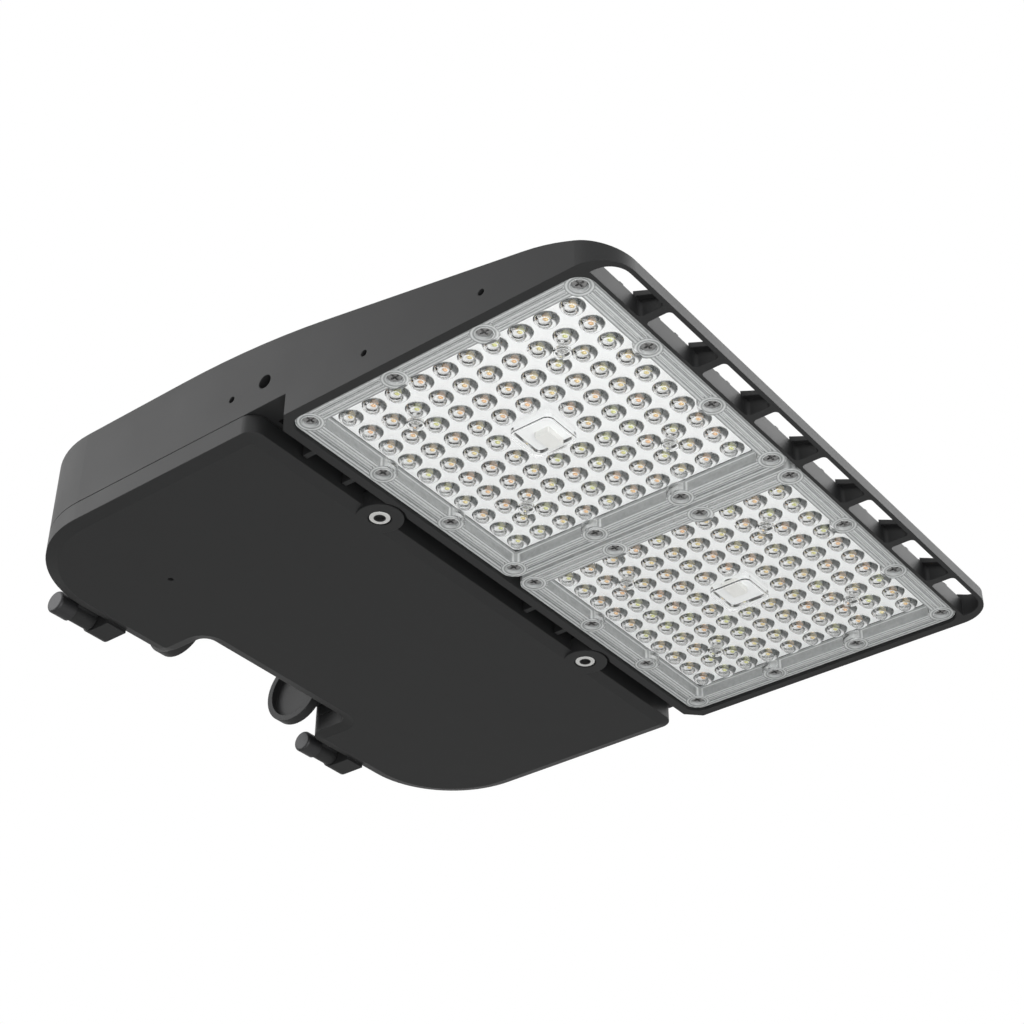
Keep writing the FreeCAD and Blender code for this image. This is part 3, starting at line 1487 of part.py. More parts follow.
make_housing()
make_door()
make_door_gasket()
for side_name, tab_start in (("right", size.right_tab), ("left", size.left_tab)):
    make_hinge_pin(side_name, tab_start)
for side_name, screw_across in door_screw_offsets().items():
    make_captive_screw(side_name, screw_across)
make_retainers()
for side_name, module_centre in module_centres().items():
    make_lens(side_name, module_centre)
    make_lens_gasket(side_name, module_centre)
    make_board(side_name, module_centre)
    make_chips(side_name, module_centre)
    make_connector(side_name)
    make_led_lead(side_name)
make_lens_screws()
make_board_screws()
make_driver()
make_driver_screws()
make_terminal_block()
make_surge_protector()
make_ground_screw()
make_grommet()
make_supply_leads()
make_surge_leads()
doc.recompute()

faults = []
for thing in doc.Objects:
    if "Invalid" in thing.State or "Error" in thing.State:
        faults.append(f"{thing.Name}: {thing.State}")
for node in nodes:
    if node.Shape.isNull() or not node.Shape.isValid():
        faults.append(f"{node.Label}: no valid shape")
if faults:
    raise SystemExit("\n".join(faults))

os.makedirs("parts", exist_ok=True)
for node in nodes:
    node.Shape.exportStep(f"parts/{node.Label}.step")
    solids = len(node.Shape.Solids)
    print(f"{node.Label}: {solids} solid(s), {node.Shape.Volume / 1000:.2f} cm3")
print(f"{len(nodes)} nodes")
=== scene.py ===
# %% [markdown]
# # A shoebox area light, dressed for its portrait
#
# The lamp hangs from a pole arm with its lenses down, so the camera looks up at it from
# below. The castings, screws and plates already exist as solids at their real size. This
# file gives each of them the finish of the real thing and makes what the solids leave
# plain: the clear optics with the little rooms that their LEDs sit in, and the LEDs.

# %% Load the solids
import math

import bmesh
import bpy
from mathutils import Matrix, Vector


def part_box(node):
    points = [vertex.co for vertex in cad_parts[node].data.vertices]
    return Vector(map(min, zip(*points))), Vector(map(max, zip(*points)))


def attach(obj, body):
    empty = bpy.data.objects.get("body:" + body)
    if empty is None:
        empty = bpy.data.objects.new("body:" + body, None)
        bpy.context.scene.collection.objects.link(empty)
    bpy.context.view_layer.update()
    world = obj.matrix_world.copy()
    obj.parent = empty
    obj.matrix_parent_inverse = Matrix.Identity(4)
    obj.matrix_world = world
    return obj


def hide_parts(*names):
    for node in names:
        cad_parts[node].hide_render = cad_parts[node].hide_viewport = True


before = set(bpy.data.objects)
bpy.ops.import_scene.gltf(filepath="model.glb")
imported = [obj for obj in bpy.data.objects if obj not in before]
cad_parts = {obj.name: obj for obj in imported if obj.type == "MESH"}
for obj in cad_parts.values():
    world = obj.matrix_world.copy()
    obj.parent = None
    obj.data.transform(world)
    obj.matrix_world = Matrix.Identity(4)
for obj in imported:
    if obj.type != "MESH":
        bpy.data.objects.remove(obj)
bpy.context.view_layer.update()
MM = 0.001
SIDES = ("right", "left")

# %% [markdown]
# ## The camera first
#
# The photograph was taken from in front of the LED end, off to the +X side and well
# below. The camera is placed by its own position, the point that it aims at and a very
# small roll. A constraint could aim it too, but a matrix that is worked out once leaves
# nothing live in the file. A long lens keeps the lamp's edges nearly parallel.

# %% Camera
CAMERA_PLACE = Vector((0.6583, 0.6758, -0.5805))
CAMERA_AIM = Vector((0.0505, 0.2017, -0.0340))
CAMERA_ROLL = math.radians(0.36)
CAMERA_LENS = 68.65
SENSOR_WIDTH = 36.0


def place_camera():
    """Make the camera, turn it to its aim and look through it."""
    camera = bpy.data.objects.new("camera", bpy.data.cameras.new("camera"))
    bpy.context.scene.collection.objects.link(camera)
    turn = (CAMERA_AIM - CAMERA_PLACE).to_track_quat("-Z", "Y").to_matrix().to_4x4()
    roll = Matrix.Rotation(CAMERA_ROLL, 4, "Z")
    camera.matrix_world = Matrix.Translation(CAMERA_PLACE) @ turn @ roll
    camera.data.lens = CAMERA_LENS
    camera.data.sensor_width = SENSOR_WIDTH
    bpy.context.scene.camera = camera


place_camera()
print("camera to lamp:", round((CAMERA_AIM - CAMERA_PLACE).length, 3), "m")

# %% [markdown]
# ## Writing node trees as sums
#
# A finish is a small sum: a base tone plus some mottling, a roughness plus some grain.
# Nodes are easier to read when they are written that way, so one class stands for a
# socket and lets Python's own signs add the Math nodes. A second class holds a tree and
# adds any other node with one method.

# %% Node helpers
class Signal:
    """One output socket. Arithmetic on it adds Math nodes to its tree."""

    def __init__(self, graph, socket):
        self.graph = graph
        self.socket = socket

    def maths(self, operation, *terms):
        return self.graph.node("ShaderNodeMath", {"operation": operation}, dict(enumerate(terms)))

    def __add__(self, other):
        return self.maths("ADD", self, other)

    def __sub__(self, other):
        return self.maths("SUBTRACT", self, other)

    def __rsub__(self, other):
        return self.maths("SUBTRACT", other, self)

    def __mul__(self, other):
        return self.maths("MULTIPLY", self, other)

    def larger(self, other):
        return self.maths("MAXIMUM", self, other)

    def size(self):
        return self.maths("ABSOLUTE", self)

    def root(self):
        return self.maths("SQRT", self)

    def wave(self):
        return self.maths("SINE", self)

    def to_nearest(self, pitch):
        """The distance to the nearest whole number of pitches."""
        return self.maths("PINGPONG", self, pitch / 2)

    def past_nearest(self, pitch):
        """The same distance with its sign, negative before that number."""
        return self.maths("WRAP", self, pitch / 2, -pitch / 2)

    def above(self, other):
        return self.maths("GREATER_THAN", self, other)

    def below(self, other):
        return self.maths("LESS_THAN", self, other)

    __radd__ = __add__
    __rmul__ = __mul__


class Graph:
    """A node tree that grows by one method."""

    def __init__(self, tree):
        self.tree = tree

    def node(self, kind, settings=None, values=None, output=0):
        """Add a node: its settings first, then the values or links of its sockets."""
        made = self.tree.nodes.new(kind)
        for name, value in (settings or {}).items():
            setattr(made, name, value)
        for name, value in (values or {}).items():
            if isinstance(value, Signal):
                self.tree.links.new(value.socket, made.inputs[name])
            else:
                made.inputs[name].default_value = value
        return Signal(self, made.outputs[output]) if len(made.outputs) else None


class Finish(Graph):
    """A material whose tree starts empty."""

    def __init__(self, name):
        self.material = bpy.data.materials.new(name)
        self.material.use_nodes = True
        super().__init__(self.material.node_tree)
        self.tree.nodes.clear()
        self.place = self.node("ShaderNodeTexCoord", output="Object")

    def axis(self, name):
        """One coordinate of the point that is shaded."""
        return self.node("ShaderNodeSeparateXYZ", None, {"Vector": self.place}, output=name)

    def ramp(self, signal, start, end):
        """A smooth share that grows from 0 to 1 between two values."""
        values = {"Value": signal, "From Min": start, "From Max": end}
        return self.node("ShaderNodeMapRange", {"interpolation_type": "SMOOTHSTEP"}, values)

    def noise(self, scale, detail=2.0):
        values = {"Vector": self.place, "Scale": scale, "Detail": detail}
        return self.node("ShaderNodeTexNoise", None, values)

    def shade(self, share, dark, light):
        """A colour between two, by a share from 0 to 1."""
        values = {"Factor": share, 6: (*dark, 1.0), 7: (*light, 1.0)}
        return self.node("ShaderNodeMix", {"data_type": "RGBA"}, values, output=2)

    def rounded_normal(self, radius):
        """The surface's normal, turned over each sharp edge as if it were rounded."""
        return self.node("ShaderNodeBevel", {"samples": 4}, {"Radius": radius})

    def bump(self, height, distance, strength=1.0, normal=None):
        values = {"Height": height, "Distance": distance, "Strength": strength}
        if normal is not None:
            values["Normal"] = normal
        return self.node("ShaderNodeBump", None, values)

    def skin(self, **values):
        sockets = {name.replace("_", " "): value for name, value in values.items()}
        return self.node("ShaderNodeBsdfPrincipled", None, sockets)

    def finish(self, shader):
        self.node("ShaderNodeOutputMaterial", None, {"Surface": shader})
        return self.material


# %% [markdown]
# ## Powder coat
#
# Both castings carry a near-black polyester powder coat. It is satin, with a very fine
# orange peel, and it thins over every edge, where it catches a line of light. The peel is
# a bump from fine noise. The edge comes from a Bevel node, which bends the normal over
# each sharp edge. A Bevel modifier would cut into hundreds of edges of the casting, and
# the node leaves the solid alone.

# %% Powder coat
EDGE_RADIUS = 0.7 * MM
PEEL_DEPTH = 0.05 * MM


def powder_coat(name, dark, light):
    coat = Finish(name)
    mottle = coat.noise(38.0, 4.0)
    peel = coat.noise(1500.0, 2.0)
    edge = coat.rounded_normal(EDGE_RADIUS)
    return coat.finish(coat.skin(
        Base_Color=coat.shade(mottle, dark, light),
        Roughness=0.46 + 0.10 * mottle,
        Specular_IOR_Level=0.28,
        Normal=coat.bump(peel, PEEL_DEPTH, 0.6, edge),
    ))


coat_housing = powder_coat("coat_housing", (0.0130, 0.0133, 0.0137), (0.0200, 0.0203, 0.0207))
coat_door = powder_coat("coat_door", (0.0140, 0.0143, 0.0147), (0.0190, 0.0193, 0.0197))
print("powder coats:", coat_housing.name, coat_door.name)

# %% [markdown]
# ## Metals
#
# The door screws and the small screws inside are stainless, turned and then tumbled, so
# their scratches run every way. The lens screws are zinc plated and duller. The hinge pins
# are blackened steel, the ground screw is dyed green and the driver's case is anodised.
# One function makes all of them from a colour and a roughness, because they differ in
# little else.

# %% Metals
SCRATCH_DEPTH = 0.01 * MM
SCREW_EDGE = 0.25 * MM


def scratched(metal, scratch):
    """The normal of a turned part: fine scratches, and edges that are a little blunt."""
    return metal.bump(scratch, SCRATCH_DEPTH, 0.4, metal.rounded_normal(SCREW_EDGE))


def turned_metal(name, colour, roughness, metallic=1.0):
    metal = Finish(name)
    scratch = metal.noise(900.0, 6.0)
    stain = metal.noise(120.0, 3.0)
    deeper = tuple(0.8 * part for part in colour)
    return metal.finish(metal.skin(
        Base_Color=metal.shade(stain, deeper, colour),
        Metallic=metallic,
        Roughness=roughness + 0.12 * scratch,
        Normal=scratched(metal, scratch),
    ))


stainless = turned_metal("stainless", (0.78, 0.78, 0.77), 0.22)
zinc = turned_metal("zinc_screws", (0.40, 0.40, 0.40), 0.30)
blackened = turned_metal("blackened_steel", (0.045, 0.045, 0.047), 0.38, 0.6)
green_steel = turned_metal("green_steel", (0.06, 0.30, 0.10), 0.35, 0.8)
anodised = turned_metal("anodised_case", (0.16, 0.16, 0.17), 0.40, 0.7)
metals = (stainless, zinc, blackened, green_steel, anodised)
print("metals:", ", ".join(metal.name for metal in metals))

# %% [markdown]
# ## The door screws
#
# Their heads are the brightest spots of the lamp, and their sockets the darkest. That dark
# is painted shade: the recess is coloured near-black, as the shadow inside it. A second
# material on the socket's faces could do this, but a solid's mesh is left alone, so one
# material finds the socket by its distance from the screw's axis. The axis comes from the
# box of the solid.

# %% Door screws
SOCKET_RADIUS = 3.3 * MM
SOCKET_BLEND = 0.4 * MM


def shaded_socket_screw(name, piece):
    """Bright steel with painted shade in the socket round the axis of a screw."""
    low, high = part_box(piece)
    metal = Finish(name)
    across = metal.axis("X") - (low.x + high.x) / 2
    along = metal.axis("Y") - (low.y + high.y) / 2
    distance = (across * across + along * along).root()
    # socket is the share of painted shade: near-black, not metal and rougher inside the recess.
    socket = metal.ramp(distance, SOCKET_RADIUS, SOCKET_RADIUS - SOCKET_BLEND)
    scratch = metal.noise(900.0, 6.0)
    return metal.finish(metal.skin(
        Base_Color=metal.shade(socket, (0.88, 0.88, 0.87), (0.012, 0.012, 0.012)),
        Metallic=1 - socket,
        Roughness=0.20 + 0.12 * scratch + 0.4 * socket,
        Normal=scratched(metal, scratch),
    ))


door_screw_finishes = {
    side: shaded_socket_screw(f"shaded_socket_screw_{side}", f"captive_screw_{side}") for side in SIDES
}
print("door screws:", ", ".join(door_screw_finishes))

# %% [markdown]
# ## Rubber and plastics
#
# Gaskets, leads and the small moulded pieces are dull. Each has a fine bump at its own
# scale, and a slow change of tone that keeps large faces from looking flat. A plain colour
# would do for most of them, since they hide inside the lamp until its door swings open.

# %% Rubber and plastics
def dull_plastic(name, dark, light, roughness, grain=700.0, depth=0.03):
    plastic = Finish(name)
    tone = plastic.noise(60.0, 3.0)
    fine = plastic.noise(grain, 3.0)
    return plastic.finish(plastic.skin(
        Base_Color=plastic.shade(tone, dark, light),
        Roughness=roughness + 0.1 * tone,
        Normal=plastic.bump(fine, depth * MM, 0.5),
    ))


silicone = dull_plastic("silicone", (0.012, 0.012, 0.012), (0.020, 0.020, 0.020), 0.60)
jacket = dull_plastic("lead_jacket", (0.020, 0.020, 0.021), (0.032, 0.032, 0.034), 0.50)
nylon = dull_plastic("white_nylon", (0.78, 0.78, 0.75), (0.86, 0.86, 0.84), 0.42)
grey_block = dull_plastic("grey_block", (0.22, 0.23, 0.24), (0.30, 0.31, 0.32), 0.45)
red_potting = dull_plastic("red_potting", (0.20, 0.022, 0.016), (0.28, 0.034, 0.024), 0.40)
solder_mask = dull_plastic(
    "white_solder_mask", (0.92, 0.935, 0.94), (0.95, 0.96, 0.96), 0.35, grain=300.0, depth=0.01)
package = dull_plastic("led_package", (0.74, 0.73, 0.69), (0.82, 0.81, 0.77), 0.40)
plastics = (silicone, jacket, nylon, grey_block, red_potting, solder_mask, package)
print("plastics:", ", ".join(plastic.name for plastic in plastics))

# %% [markdown]
# ## Phosphor
#
# A white LED is a blue chip under a yellow phosphor. Batches differ, so some look
# greenish and some pinkish. A material for each batch could show this. A noise that is
# coarser than one LED gives each its own tint with one material.

# %% Phosphor
GREENISH = (0.60, 0.61, 0.24)
PINKISH = (0.76, 0.45, 0.23)


def phosphor_finish():
    gel = Finish("phosphor")
    batch = gel.noise(95.0, 0.0)
    stretch = {"Value": batch, "From Min": 0.35, "From Max": 0.65}
    tint = gel.node("ShaderNodeMapRange", None, stretch)
    return gel.finish(gel.skin(
        Base_Color=gel.shade(tint, GREENISH, PINKISH),
        Roughness=0.35 + 0.1 * batch,
    ))


phosphor = phosphor_finish()
print("phosphor:", phosphor.name)

# %% [markdown]
# ## The frosted border
#
# The border of each lens plate is frosted and ribbed. Its fine ribs run round the plate,
# and round each screw tower. Modelled ribs would take a great many faces for lines that
# are under a millimetre wide, so a sine of one distance draws them all: the distance from
# the nearest screw on a tower, and from the plate's middle everywhere else. The sine bumps
# the surface, and it also paints the ribs' light and shade into the colour: pale on each
# crest, dark in each groove.

# %% Border ribs
BORDER_START = 70.8 * MM
FIRST_SCREW = 76.0 * MM
SCREW_PITCH = FIRST_SCREW * 2 / 3
TOWER_RADIUS = 6.6 * MM
RIB_PITCH = 1.75 * MM


def border_ribs(across, along, reach):
    """The height of the ribs, from 0 in a groove to 1 on a crest."""
    beside = (across + FIRST_SCREW).to_nearest(SCREW_PITCH)
    behind = (along + FIRST_SCREW).to_nearest(SCREW_PITCH)
    from_screw = (beside * beside + behind * behind).root()
    tower = from_screw.below(TOWER_RADIUS)
    distance = from_screw * tower + reach * (1 - tower)
    return 0.5 + 0.5 * (distance * (2 * math.pi / RIB_PITCH)).wave()


print("screws on a side of the border:", round(2 * FIRST_SCREW / SCREW_PITCH) + 1)

# %% [markdown]
# ## The prism in each dome, as painted shade
#
# A dome throws its light forwards, away from the pole, so a steep prism stands on its +Y
# side. It turns other light away and looks like a dark crescent, and so does the thin
# outline of the dome. The prism could be cut into all the domes. Its painted shade alone
# is enough at this distance: a dark, opaque skin is mixed into the clear plastic where
# refraction and reflection would darken the crescent and the outline. The crescent is found
# by how far a point lies from a spot a little behind the LED, and the outline by how
# steeply the surface turns away. Both are kept to what is within a dome's radius and
# stands out of the plate, away from the middle, where the window over the connector is.

# %% Painted dome shade
LED_PITCH = 14.0 * MM
DOME_RADIUS = 5.95 * MM
DOME_ROOT = -27.7 * MM
ROOM_RADIUS = 3.0 * MM
ROOM_FLOOR = -29.45 * MM
PRISM_SHIFT = 1.4 * MM
PRISM_START = 4.9 * MM
PRISM_BLEND = 0.8 * MM
OUTLINE_START = 0.80
OUTLINE_END = 0.97


def painted_dome_shade(clear, across, along, reach):
    """How much painted shade the crescent and the outline get, from 0 to 1."""
    level = clear.axis("Z")
    aside = (across + LED_PITCH / 2).past_nearest(LED_PITCH)
    ahead = (along + LED_PITCH / 2).past_nearest(LED_PITCH)
    from_led = (aside * aside + ahead * ahead).root()
    skin = from_led.above(ROOM_RADIUS).larger(level.below(ROOM_FLOOR))
    shifted = ahead + PRISM_SHIFT
    from_prism = (aside * aside + shifted * shifted).root()
    # The crescent of painted shade on each dome's +Y side.
    prism = clear.ramp(from_prism, PRISM_START, PRISM_START + PRISM_BLEND) * skin
    # Painted shade along each dome's outline, where its surface turns away from the view.
    steep = clear.node("ShaderNodeLayerWeight", None, {"Blend": 0.5}, output="Facing")
    outline = clear.ramp(steep, OUTLINE_START, OUTLINE_END)
    domes = level.below(DOME_ROOT) * from_led.below(DOME_RADIUS) * reach.above(LED_PITCH)
    return prism.larger(outline) * domes


print("widest part of a crescent:", round((DOME_RADIUS + PRISM_SHIFT - PRISM_START) / MM, 2), "mm")

# %% [markdown]
# ## Clear polycarbonate
#
# The lens plates refract what lies behind them. Light that is on its way to the board
# goes straight through, which a real plate nearly does too, and this keeps the board
# bright and free of speckle: the last mix looks at the ray and not at the camera. Both
# plates share the material, so it measures X without its sign. Clear and milky plastic
# could each be a material of its own, and so could the dark, opaque skin that paints shade
# on the domes, but the solid has no faces along each prism or the border's inner line, so
# masks mix them. The milky border's colour also carries painted light and shade from its ribs.

# %% Clear polycarbonate
FROST = 0.80
RIB_DEPTH = 0.25 * MM
# FLANK_DARKNESS and FLANK_MOTTLE set how dark the painted shade on the domes is, and how much a noise
# varies it.
FLANK_DARKNESS = 0.92
FLANK_MOTTLE = 0.25
WHITE = (1.0, 1.0, 1.0, 1.0)


def clear_plastic(name):
    low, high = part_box("led_board_right")
    clear = Finish(name)
    across = clear.axis("X").size() - (low.x + high.x) / 2
    along = clear.axis("Y") - (low.y + high.y) / 2
    reach = across.size().larger(along.size())
    border = reach.above(BORDER_START)
    ribs = border_ribs(across, along, reach)
    haze = clear.noise(400.0, 3.0)
    body = clear.skin(
        Base_Color=clear.shade(haze, (0.985, 0.992, 0.992), (1.0, 1.0, 1.0)),
        Roughness=0.01 + 0.03 * haze,
        IOR=1.49,
        Transmission_Weight=1.0,
    )
    # Painted shade: a dark, opaque skin mixed over the domes' crescents and outlines.
    shade_skin = clear.skin(
        Base_Color=clear.shade(haze, (0.012, 0.016, 0.016), (0.060, 0.070, 0.070)),
        Roughness=0.08 + 0.1 * haze,
    )
    # The ribs also paint light and shade into the border's colour: pale on each crest, dark in each
    # groove.
    milky = clear.skin(
        Base_Color=clear.shade(0.7 * ribs + 0.3 * haze, (0.20, 0.21, 0.21), (0.74, 0.76, 0.76)),
        Roughness=0.18 + 0.1 * haze,
        Normal=clear.bump(ribs, RIB_DEPTH, 0.8),
    )
    # How much painted shade each point of a dome gets.
    dome_shade = painted_dome_shade(clear, across, along, reach) * (1 - border)
    flank_shade = dome_shade * (FLANK_DARKNESS - FLANK_MOTTLE * haze)
    shaded = clear.node("ShaderNodeMixShader", None, {0: flank_shade, 1: body, 2: shade_skin})
    frosted = clear.node("ShaderNodeMixShader", None, {0: border * FROST, 1: shaded, 2: milky})
    shadow = clear.node("ShaderNodeLightPath", output="Is Shadow Ray")
    scattered = clear.node("ShaderNodeLightPath", output="Is Diffuse Ray")
    veil = clear.node("ShaderNodeBsdfTransparent", None, {"Color": WHITE})
    passing = shadow.larger(scattered)
    through = clear.node("ShaderNodeMixShader", None, {0: passing, 1: frosted, 2: veil})
    return clear.finish(through)


polycarbonate = clear_plastic("clear_polycarbonate")
print("clear plastic:", len(polycarbonate.node_tree.nodes), "nodes")

# %% [markdown]
# ## Put the finishes on the solids
#
# Each solid keeps its mesh and only changes what is in its material slot. Pieces of one
# finish could be joined, but then the door and its screws couldn't move by themselves. A
# name's start is enough for a pair, and a later line wins over an earlier one.

# %% Finishes by piece
FINISHES = {
    "housing": coat_housing,
    "door": coat_door,
    "door_gasket": silicone,
    "hinge_pin_": blackened,
    "captive_screw_right": door_screw_finishes["right"],
    "captive_screw_left": door_screw_finishes["left"],
    "screw_retainers": nylon,
    "lens_gasket_": silicone,
    "led_board_": solder_mask,
    "board_connector_": nylon,
    "lens_screws": zinc,
    "board_screws": stainless,
    "led_driver": anodised,
    "driver_screws": stainless,
    "terminal_block": grey_block,
    "terminal_screws": stainless,
    "surge_protector": red_potting,
    "surge_screws": stainless,
    "ground_screw": green_steel,
    "wire_grommet": silicone,
    "led_lead_": jacket,
    "supply_leads": jacket,
    "surge_leads": jacket,
}
for node_name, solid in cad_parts.items():
    for start, finish in FINISHES.items():
        if node_name.startswith(start):
            for slot in solid.material_slots:
                slot.material = finish
print("finishes:", len(set(FINISHES.values())))

# %% [markdown]
# ## A recipe for what repeats
#
# Each module carries 96 LEDs on a square grid, with the four middle places left free for
# the connector. One Geometry Nodes tree makes the grid, drops the middle four, puts a
# shape on every point and makes the result real. Array modifiers could make the grid too,
# but they can't leave out its middle. The sizes are named inputs, so the same recipe
# serves the packages, the phosphor and the rooms inside the lenses.

# %% The LED grid
LEDS_PER_ROW = 10
ROUND_SEGMENTS = 20
ROUND_RINGS = 12


def grid_recipe(name, shape_kind):
    """A tree that repeats a block, a drop or a hollow room over a module's LED grid."""
    tree = bpy.data.node_groups.new(name, "GeometryNodeTree")
    tree.interface.new_socket("Geometry", in_out="INPUT", socket_type="NodeSocketGeometry")
    for title, kind in (("Centre", "Vector"), ("Pitch", "Float"), ("Count", "Int"),
                        ("Size", "Vector"), ("Finish", "Material")):
        tree.interface.new_socket(title, in_out="INPUT", socket_type=f"NodeSocket{kind}")
    tree.interface.new_socket("Geometry", in_out="OUTPUT", socket_type="NodeSocketGeometry")
    graph = Graph(tree)
    inputs = tree.nodes.new("NodeGroupInput")

    def given(title):
        return Signal(graph, inputs.outputs[title])

    span = given("Pitch") * (given("Count") - 1)
    grid = graph.node("GeometryNodeMeshGrid", None, {
        "Size X": span, "Size Y": span, "Vertices X": given("Count"), "Vertices Y": given("Count")})
    place = graph.node("GeometryNodeInputPosition")
    across = graph.node("ShaderNodeSeparateXYZ", None, {0: place}, output="X").size()
    along = graph.node("ShaderNodeSeparateXYZ", None, {0: place}, output="Y").size()
    middle = across.larger(along).below(given("Pitch"))
    kept = graph.node("GeometryNodeDeleteGeometry", {"domain": "POINT"},
                      {"Geometry": grid, "Selection": middle})
    if shape_kind == "block":
        shape = graph.node("GeometryNodeMeshCube", None, {"Size": (1.0, 1.0, 1.0)})
    else:
        shape = graph.node("GeometryNodeMeshUVSphere", None,
                           {"Segments": ROUND_SEGMENTS, "Rings": ROUND_RINGS, "Radius": 0.5})
    if shape_kind == "room":
        shape = graph.node("GeometryNodeFlipFaces", None, {"Mesh": shape})
    sized = graph.node("GeometryNodeTransform", None, {"Geometry": shape, "Scale": given("Size")})
    spread = graph.node("GeometryNodeInstanceOnPoints", None, {"Points": kept, "Instance": sized})
    moved = graph.node("GeometryNodeTransform", None,
                       {"Geometry": spread, "Translation": given("Centre")})
    solid = graph.node("GeometryNodeRealizeInstances", None, {"Geometry": moved})
    coloured = graph.node("GeometryNodeSetMaterial", None,
                          {"Geometry": solid, "Material": given("Finish")})
    graph.node("NodeGroupOutput", None, {"Geometry": coloured})
    return tree


def grow(name, tree, smooth=True, **inputs):
    """Run a tree on an empty mesh and return its result as a plain mesh object."""
    seed = bpy.data.objects.new(name + "_seed", bpy.data.meshes.new(name + "_seed"))
    bpy.context.scene.collection.objects.link(seed)
    modifier = seed.modifiers.new("grid", "NODES")
    modifier.node_group = tree
    for item in tree.interface.items_tree:
        if item.in_out == "INPUT" and item.name in inputs:
            modifier[item.identifier] = inputs[item.name]
    evaluated = seed.evaluated_get(bpy.context.evaluated_depsgraph_get())
    mesh = bpy.data.meshes.new_from_object(evaluated)
    bpy.data.objects.remove(seed)
    if smooth:
        mesh.shade_smooth()
    else:
        mesh.shade_flat()
    piece = bpy.data.objects.new(name, mesh)
    bpy.context.scene.collection.objects.link(piece)
    print(name, "faces:", len(mesh.polygons))
    return piece


room_grid = grid_recipe("room_grid", "room")
package_grid = grid_recipe("package_grid", "block")
drop_grid = grid_recipe("drop_grid", "drop")


def module_middle(side, level):
    """The centre of a module's board, at a level."""
    low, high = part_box(f"led_board_{side}")
    return Vector(((low.x + high.x) / 2, (low.y + high.y) / 2, level))


# %% [markdown]
# ## The LEDs
#
# The real LED is a small white package under a clear silicone drop that is tinted by its
# phosphor, and this drop reaches into the room in the lens. The packages replace the
# plain blocks of the solids, at the same size and place.

# %% LEDs
PACKAGE_WIDTH = 3.0 * MM
DROP_WIDTH = 2.8 * MM
DROP_RISE = 1.7 * MM
for side in SIDES:
    low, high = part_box(f"led_chips_{side}")
    packages = grow(
        f"led_packages_{side}", package_grid, smooth=False,
        Centre=module_middle(side, (low.z + high.z) / 2), Pitch=LED_PITCH, Count=LEDS_PER_ROW,
        Size=(PACKAGE_WIDTH, PACKAGE_WIDTH, high.z - low.z), Finish=package)
    drops = grow(
        f"led_drops_{side}", drop_grid, Centre=module_middle(side, low.z), Pitch=LED_PITCH,
        Count=LEDS_PER_ROW, Size=(DROP_WIDTH, DROP_WIDTH, 2 * DROP_RISE), Finish=phosphor)
    for piece in (packages, drops):
        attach(piece, "root")
    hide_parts(f"led_chips_{side}")

# %% [markdown]
# ## The lens plates
#
# Each plate is one clear moulding. Under every dome there is a small rounded room over
# the LED, and that room is what draws the dark and bright rings in a real optic. The
# plate is a merged copy of its solid, so that its domes shade smoothly, and the rooms
# are bubbles whose faces look inwards, joined into the same mesh. Cutting them out with a
# Boolean would be slow and would not look different, because they lie inside the plastic.

# %% Lens plates
ROOM_SIZE = (5.6 * MM, 5.6 * MM, 2.9 * MM)
ROOM_LEVEL = -27.95 * MM
ROOM_SHIFT = 0.9 * MM
SMOOTH_ANGLE = math.radians(28)
MERGE_DISTANCE = 0.002 * MM


def clear_plate(side):
    """Merge a copy of the plate's solid with the rooms over its LEDs."""
    middle = module_middle(side, ROOM_LEVEL) - Vector((0.0, ROOM_SHIFT, 0.0))
    rooms = grow(f"rooms_{side}", room_grid, Centre=middle,
                 Pitch=LED_PITCH, Count=LEDS_PER_ROW, Size=ROOM_SIZE, Finish=polycarbonate)
    shape = bmesh.new()
    shape.from_mesh(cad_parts[f"lens_plate_{side}"].data)
    bmesh.ops.remove_doubles(shape, verts=shape.verts, dist=MERGE_DISTANCE)
    shape.from_mesh(rooms.data)
    bpy.data.objects.remove(rooms)
    for face in shape.faces:
        face.smooth = True
        face.material_index = 0
    for edge in shape.edges:
        edge.smooth = len(edge.link_faces) == 2 and edge.calc_face_angle(0.0) < SMOOTH_ANGLE
    mesh = bpy.data.meshes.new(f"clear_plate_{side}")
    shape.to_mesh(mesh)
    shape.free()
    if "custom_normal" in mesh.attributes:
        mesh.attributes.remove(mesh.attributes["custom_normal"])
    mesh.materials.clear()
    mesh.materials.append(polycarbonate)
    plate = bpy.data.objects.new(f"clear_plate_{side}", mesh)
    bpy.context.scene.collection.objects.link(plate)
    print(plate.name, "faces:", len(mesh.polygons))
    return plate


for side in SIDES:
    plate = clear_plate(side)
    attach(plate, "root")
    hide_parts(f"lens_plate_{side}")

# %% [markdown]
# ## Floor and backdrop
#
# The floor is plain and pale, far below the lamp, and so wide that its edge is never
# seen. The camera sees it mostly as white, and its own shading, with the lamp's shadow,
# shows through a little. What lies beyond it is white too, also in a reflection or behind
# a clear plate. Stronger lamps could whiten the floor as well, but they would wash out the
# black castings.

# %% Floor and world
FLOOR_LEVEL = -0.80
FLOOR_HALF = 60.0
FLOOR_GLOW = 0.72
SKY_LEVEL = 0.45


def make_floor():
    mesh = bpy.data.meshes.new("floor")
    corners = [(-1, -1), (1, -1), (1, 1), (-1, 1)]
    mesh.from_pydata([(FLOOR_HALF * x, FLOOR_HALF * y, FLOOR_LEVEL) for x, y in corners],
                     [], [(0, 1, 2, 3)])
    floor = bpy.data.objects.new("floor", mesh)
    bpy.context.scene.collection.objects.link(floor)
    paint = Finish("floor_paint")
    matt = paint.skin(Base_Color=(0.80, 0.80, 0.79, 1.0), Roughness=0.8)
    glow = paint.node("ShaderNodeEmission", None, {"Color": WHITE, "Strength": 1.0})
    seen = paint.node("ShaderNodeLightPath", output="Is Camera Ray") * FLOOR_GLOW
    floor.data.materials.append(paint.finish(
        paint.node("ShaderNodeMixShader", None, {0: seen, 1: matt, 2: glow})))


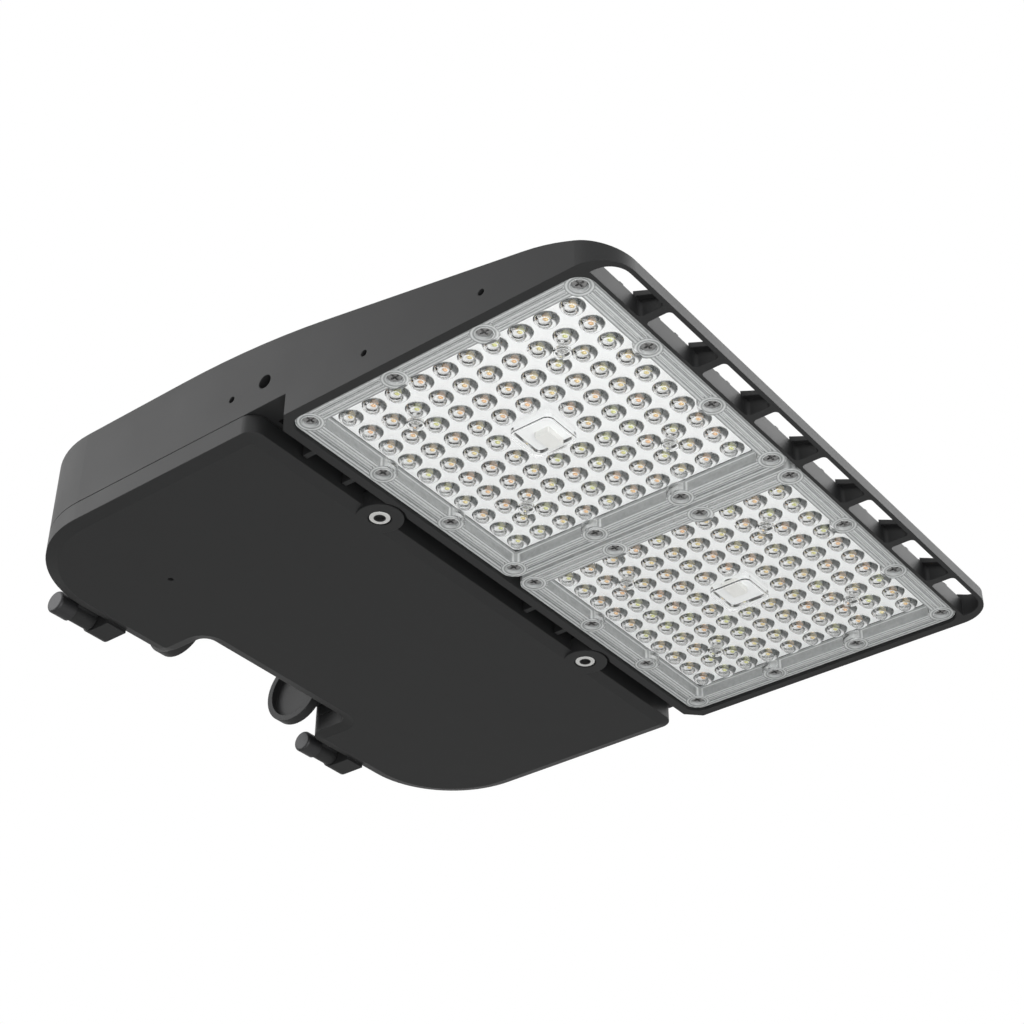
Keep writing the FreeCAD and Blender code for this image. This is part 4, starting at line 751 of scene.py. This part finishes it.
def make_world():
    world = bpy.data.worlds.new("studio")
    bpy.context.scene.world = world
    world.use_nodes = True
    graph = Graph(world.node_tree)
    world.node_tree.nodes.clear()
    seen = None
    for ray in ("Is Camera Ray", "Is Glossy Ray", "Is Transmission Ray"):
        signal = graph.node("ShaderNodeLightPath", output=ray)
        seen = signal if seen is None else seen.larger(signal)
    soft = graph.node("ShaderNodeBackground", None, {"Color": WHITE, "Strength": SKY_LEVEL})
    white = graph.node("ShaderNodeBackground", None, {"Color": WHITE, "Strength": 1.0})
    mixed = graph.node("ShaderNodeMixShader", None, {0: seen, 1: soft, 2: white})
    graph.node("ShaderNodeOutputWorld", None, {"Surface": mixed})


make_floor()
make_world()
print("floor:", 2 * FLOOR_HALF, "m wide, at", FLOOR_LEVEL, "m")

# %% [markdown]
# ## Lights
#
# Black powder coat shows its shape by what it mirrors, so the lights are wide softboxes. A
# sun or a point would leave hard spots on it. The first stands over the LED end, beyond the
# far side, the second over the hinge end on the near side, and the third below, in front of
# the LED end, where it lights the white boards. Each is set by its radiance, so its size can
# change without making its reflection brighter.

# %% Lights
LAMP_MIDDLE = Vector((0.0, 0.16, 0.0))


def soft_light(name, towards, distance, width, height, radiance):
    """A rectangular softbox, seen from the lamp's middle in a direction."""
    data = bpy.data.lights.new(name, "AREA")
    data.shape = "RECTANGLE"
    data.size = width
    data.size_y = height
    data.energy = radiance * math.pi * width * height
    light = bpy.data.objects.new(name, data)
    place = LAMP_MIDDLE + Vector(towards).normalized() * distance
    light.location = place
    light.rotation_euler = (LAMP_MIDDLE - place).to_track_quat("-Z", "Y").to_euler()
    light.visible_camera = False
    bpy.context.scene.collection.objects.link(light)
    print(name, "at", [round(part, 2) for part in place])


soft_light("front_box", towards=(-0.55, 0.62, 0.52), distance=1.5, width=1.3, height=1.0, radiance=3.0)
soft_light("side_box", towards=(0.80, -0.75, 0.42), distance=1.2, width=0.9, height=0.8, radiance=2.6)
soft_light("low_box", towards=(0.45, 0.55, -0.75), distance=1.0, width=1.0, height=1.0, radiance=3.25)

# %% [markdown]
# ## Colour
#
# The Standard view shows each colour about as it is written, which a filmic view would
# soften.

# %% Colour
bpy.context.scene.view_settings.view_transform = "Standard"
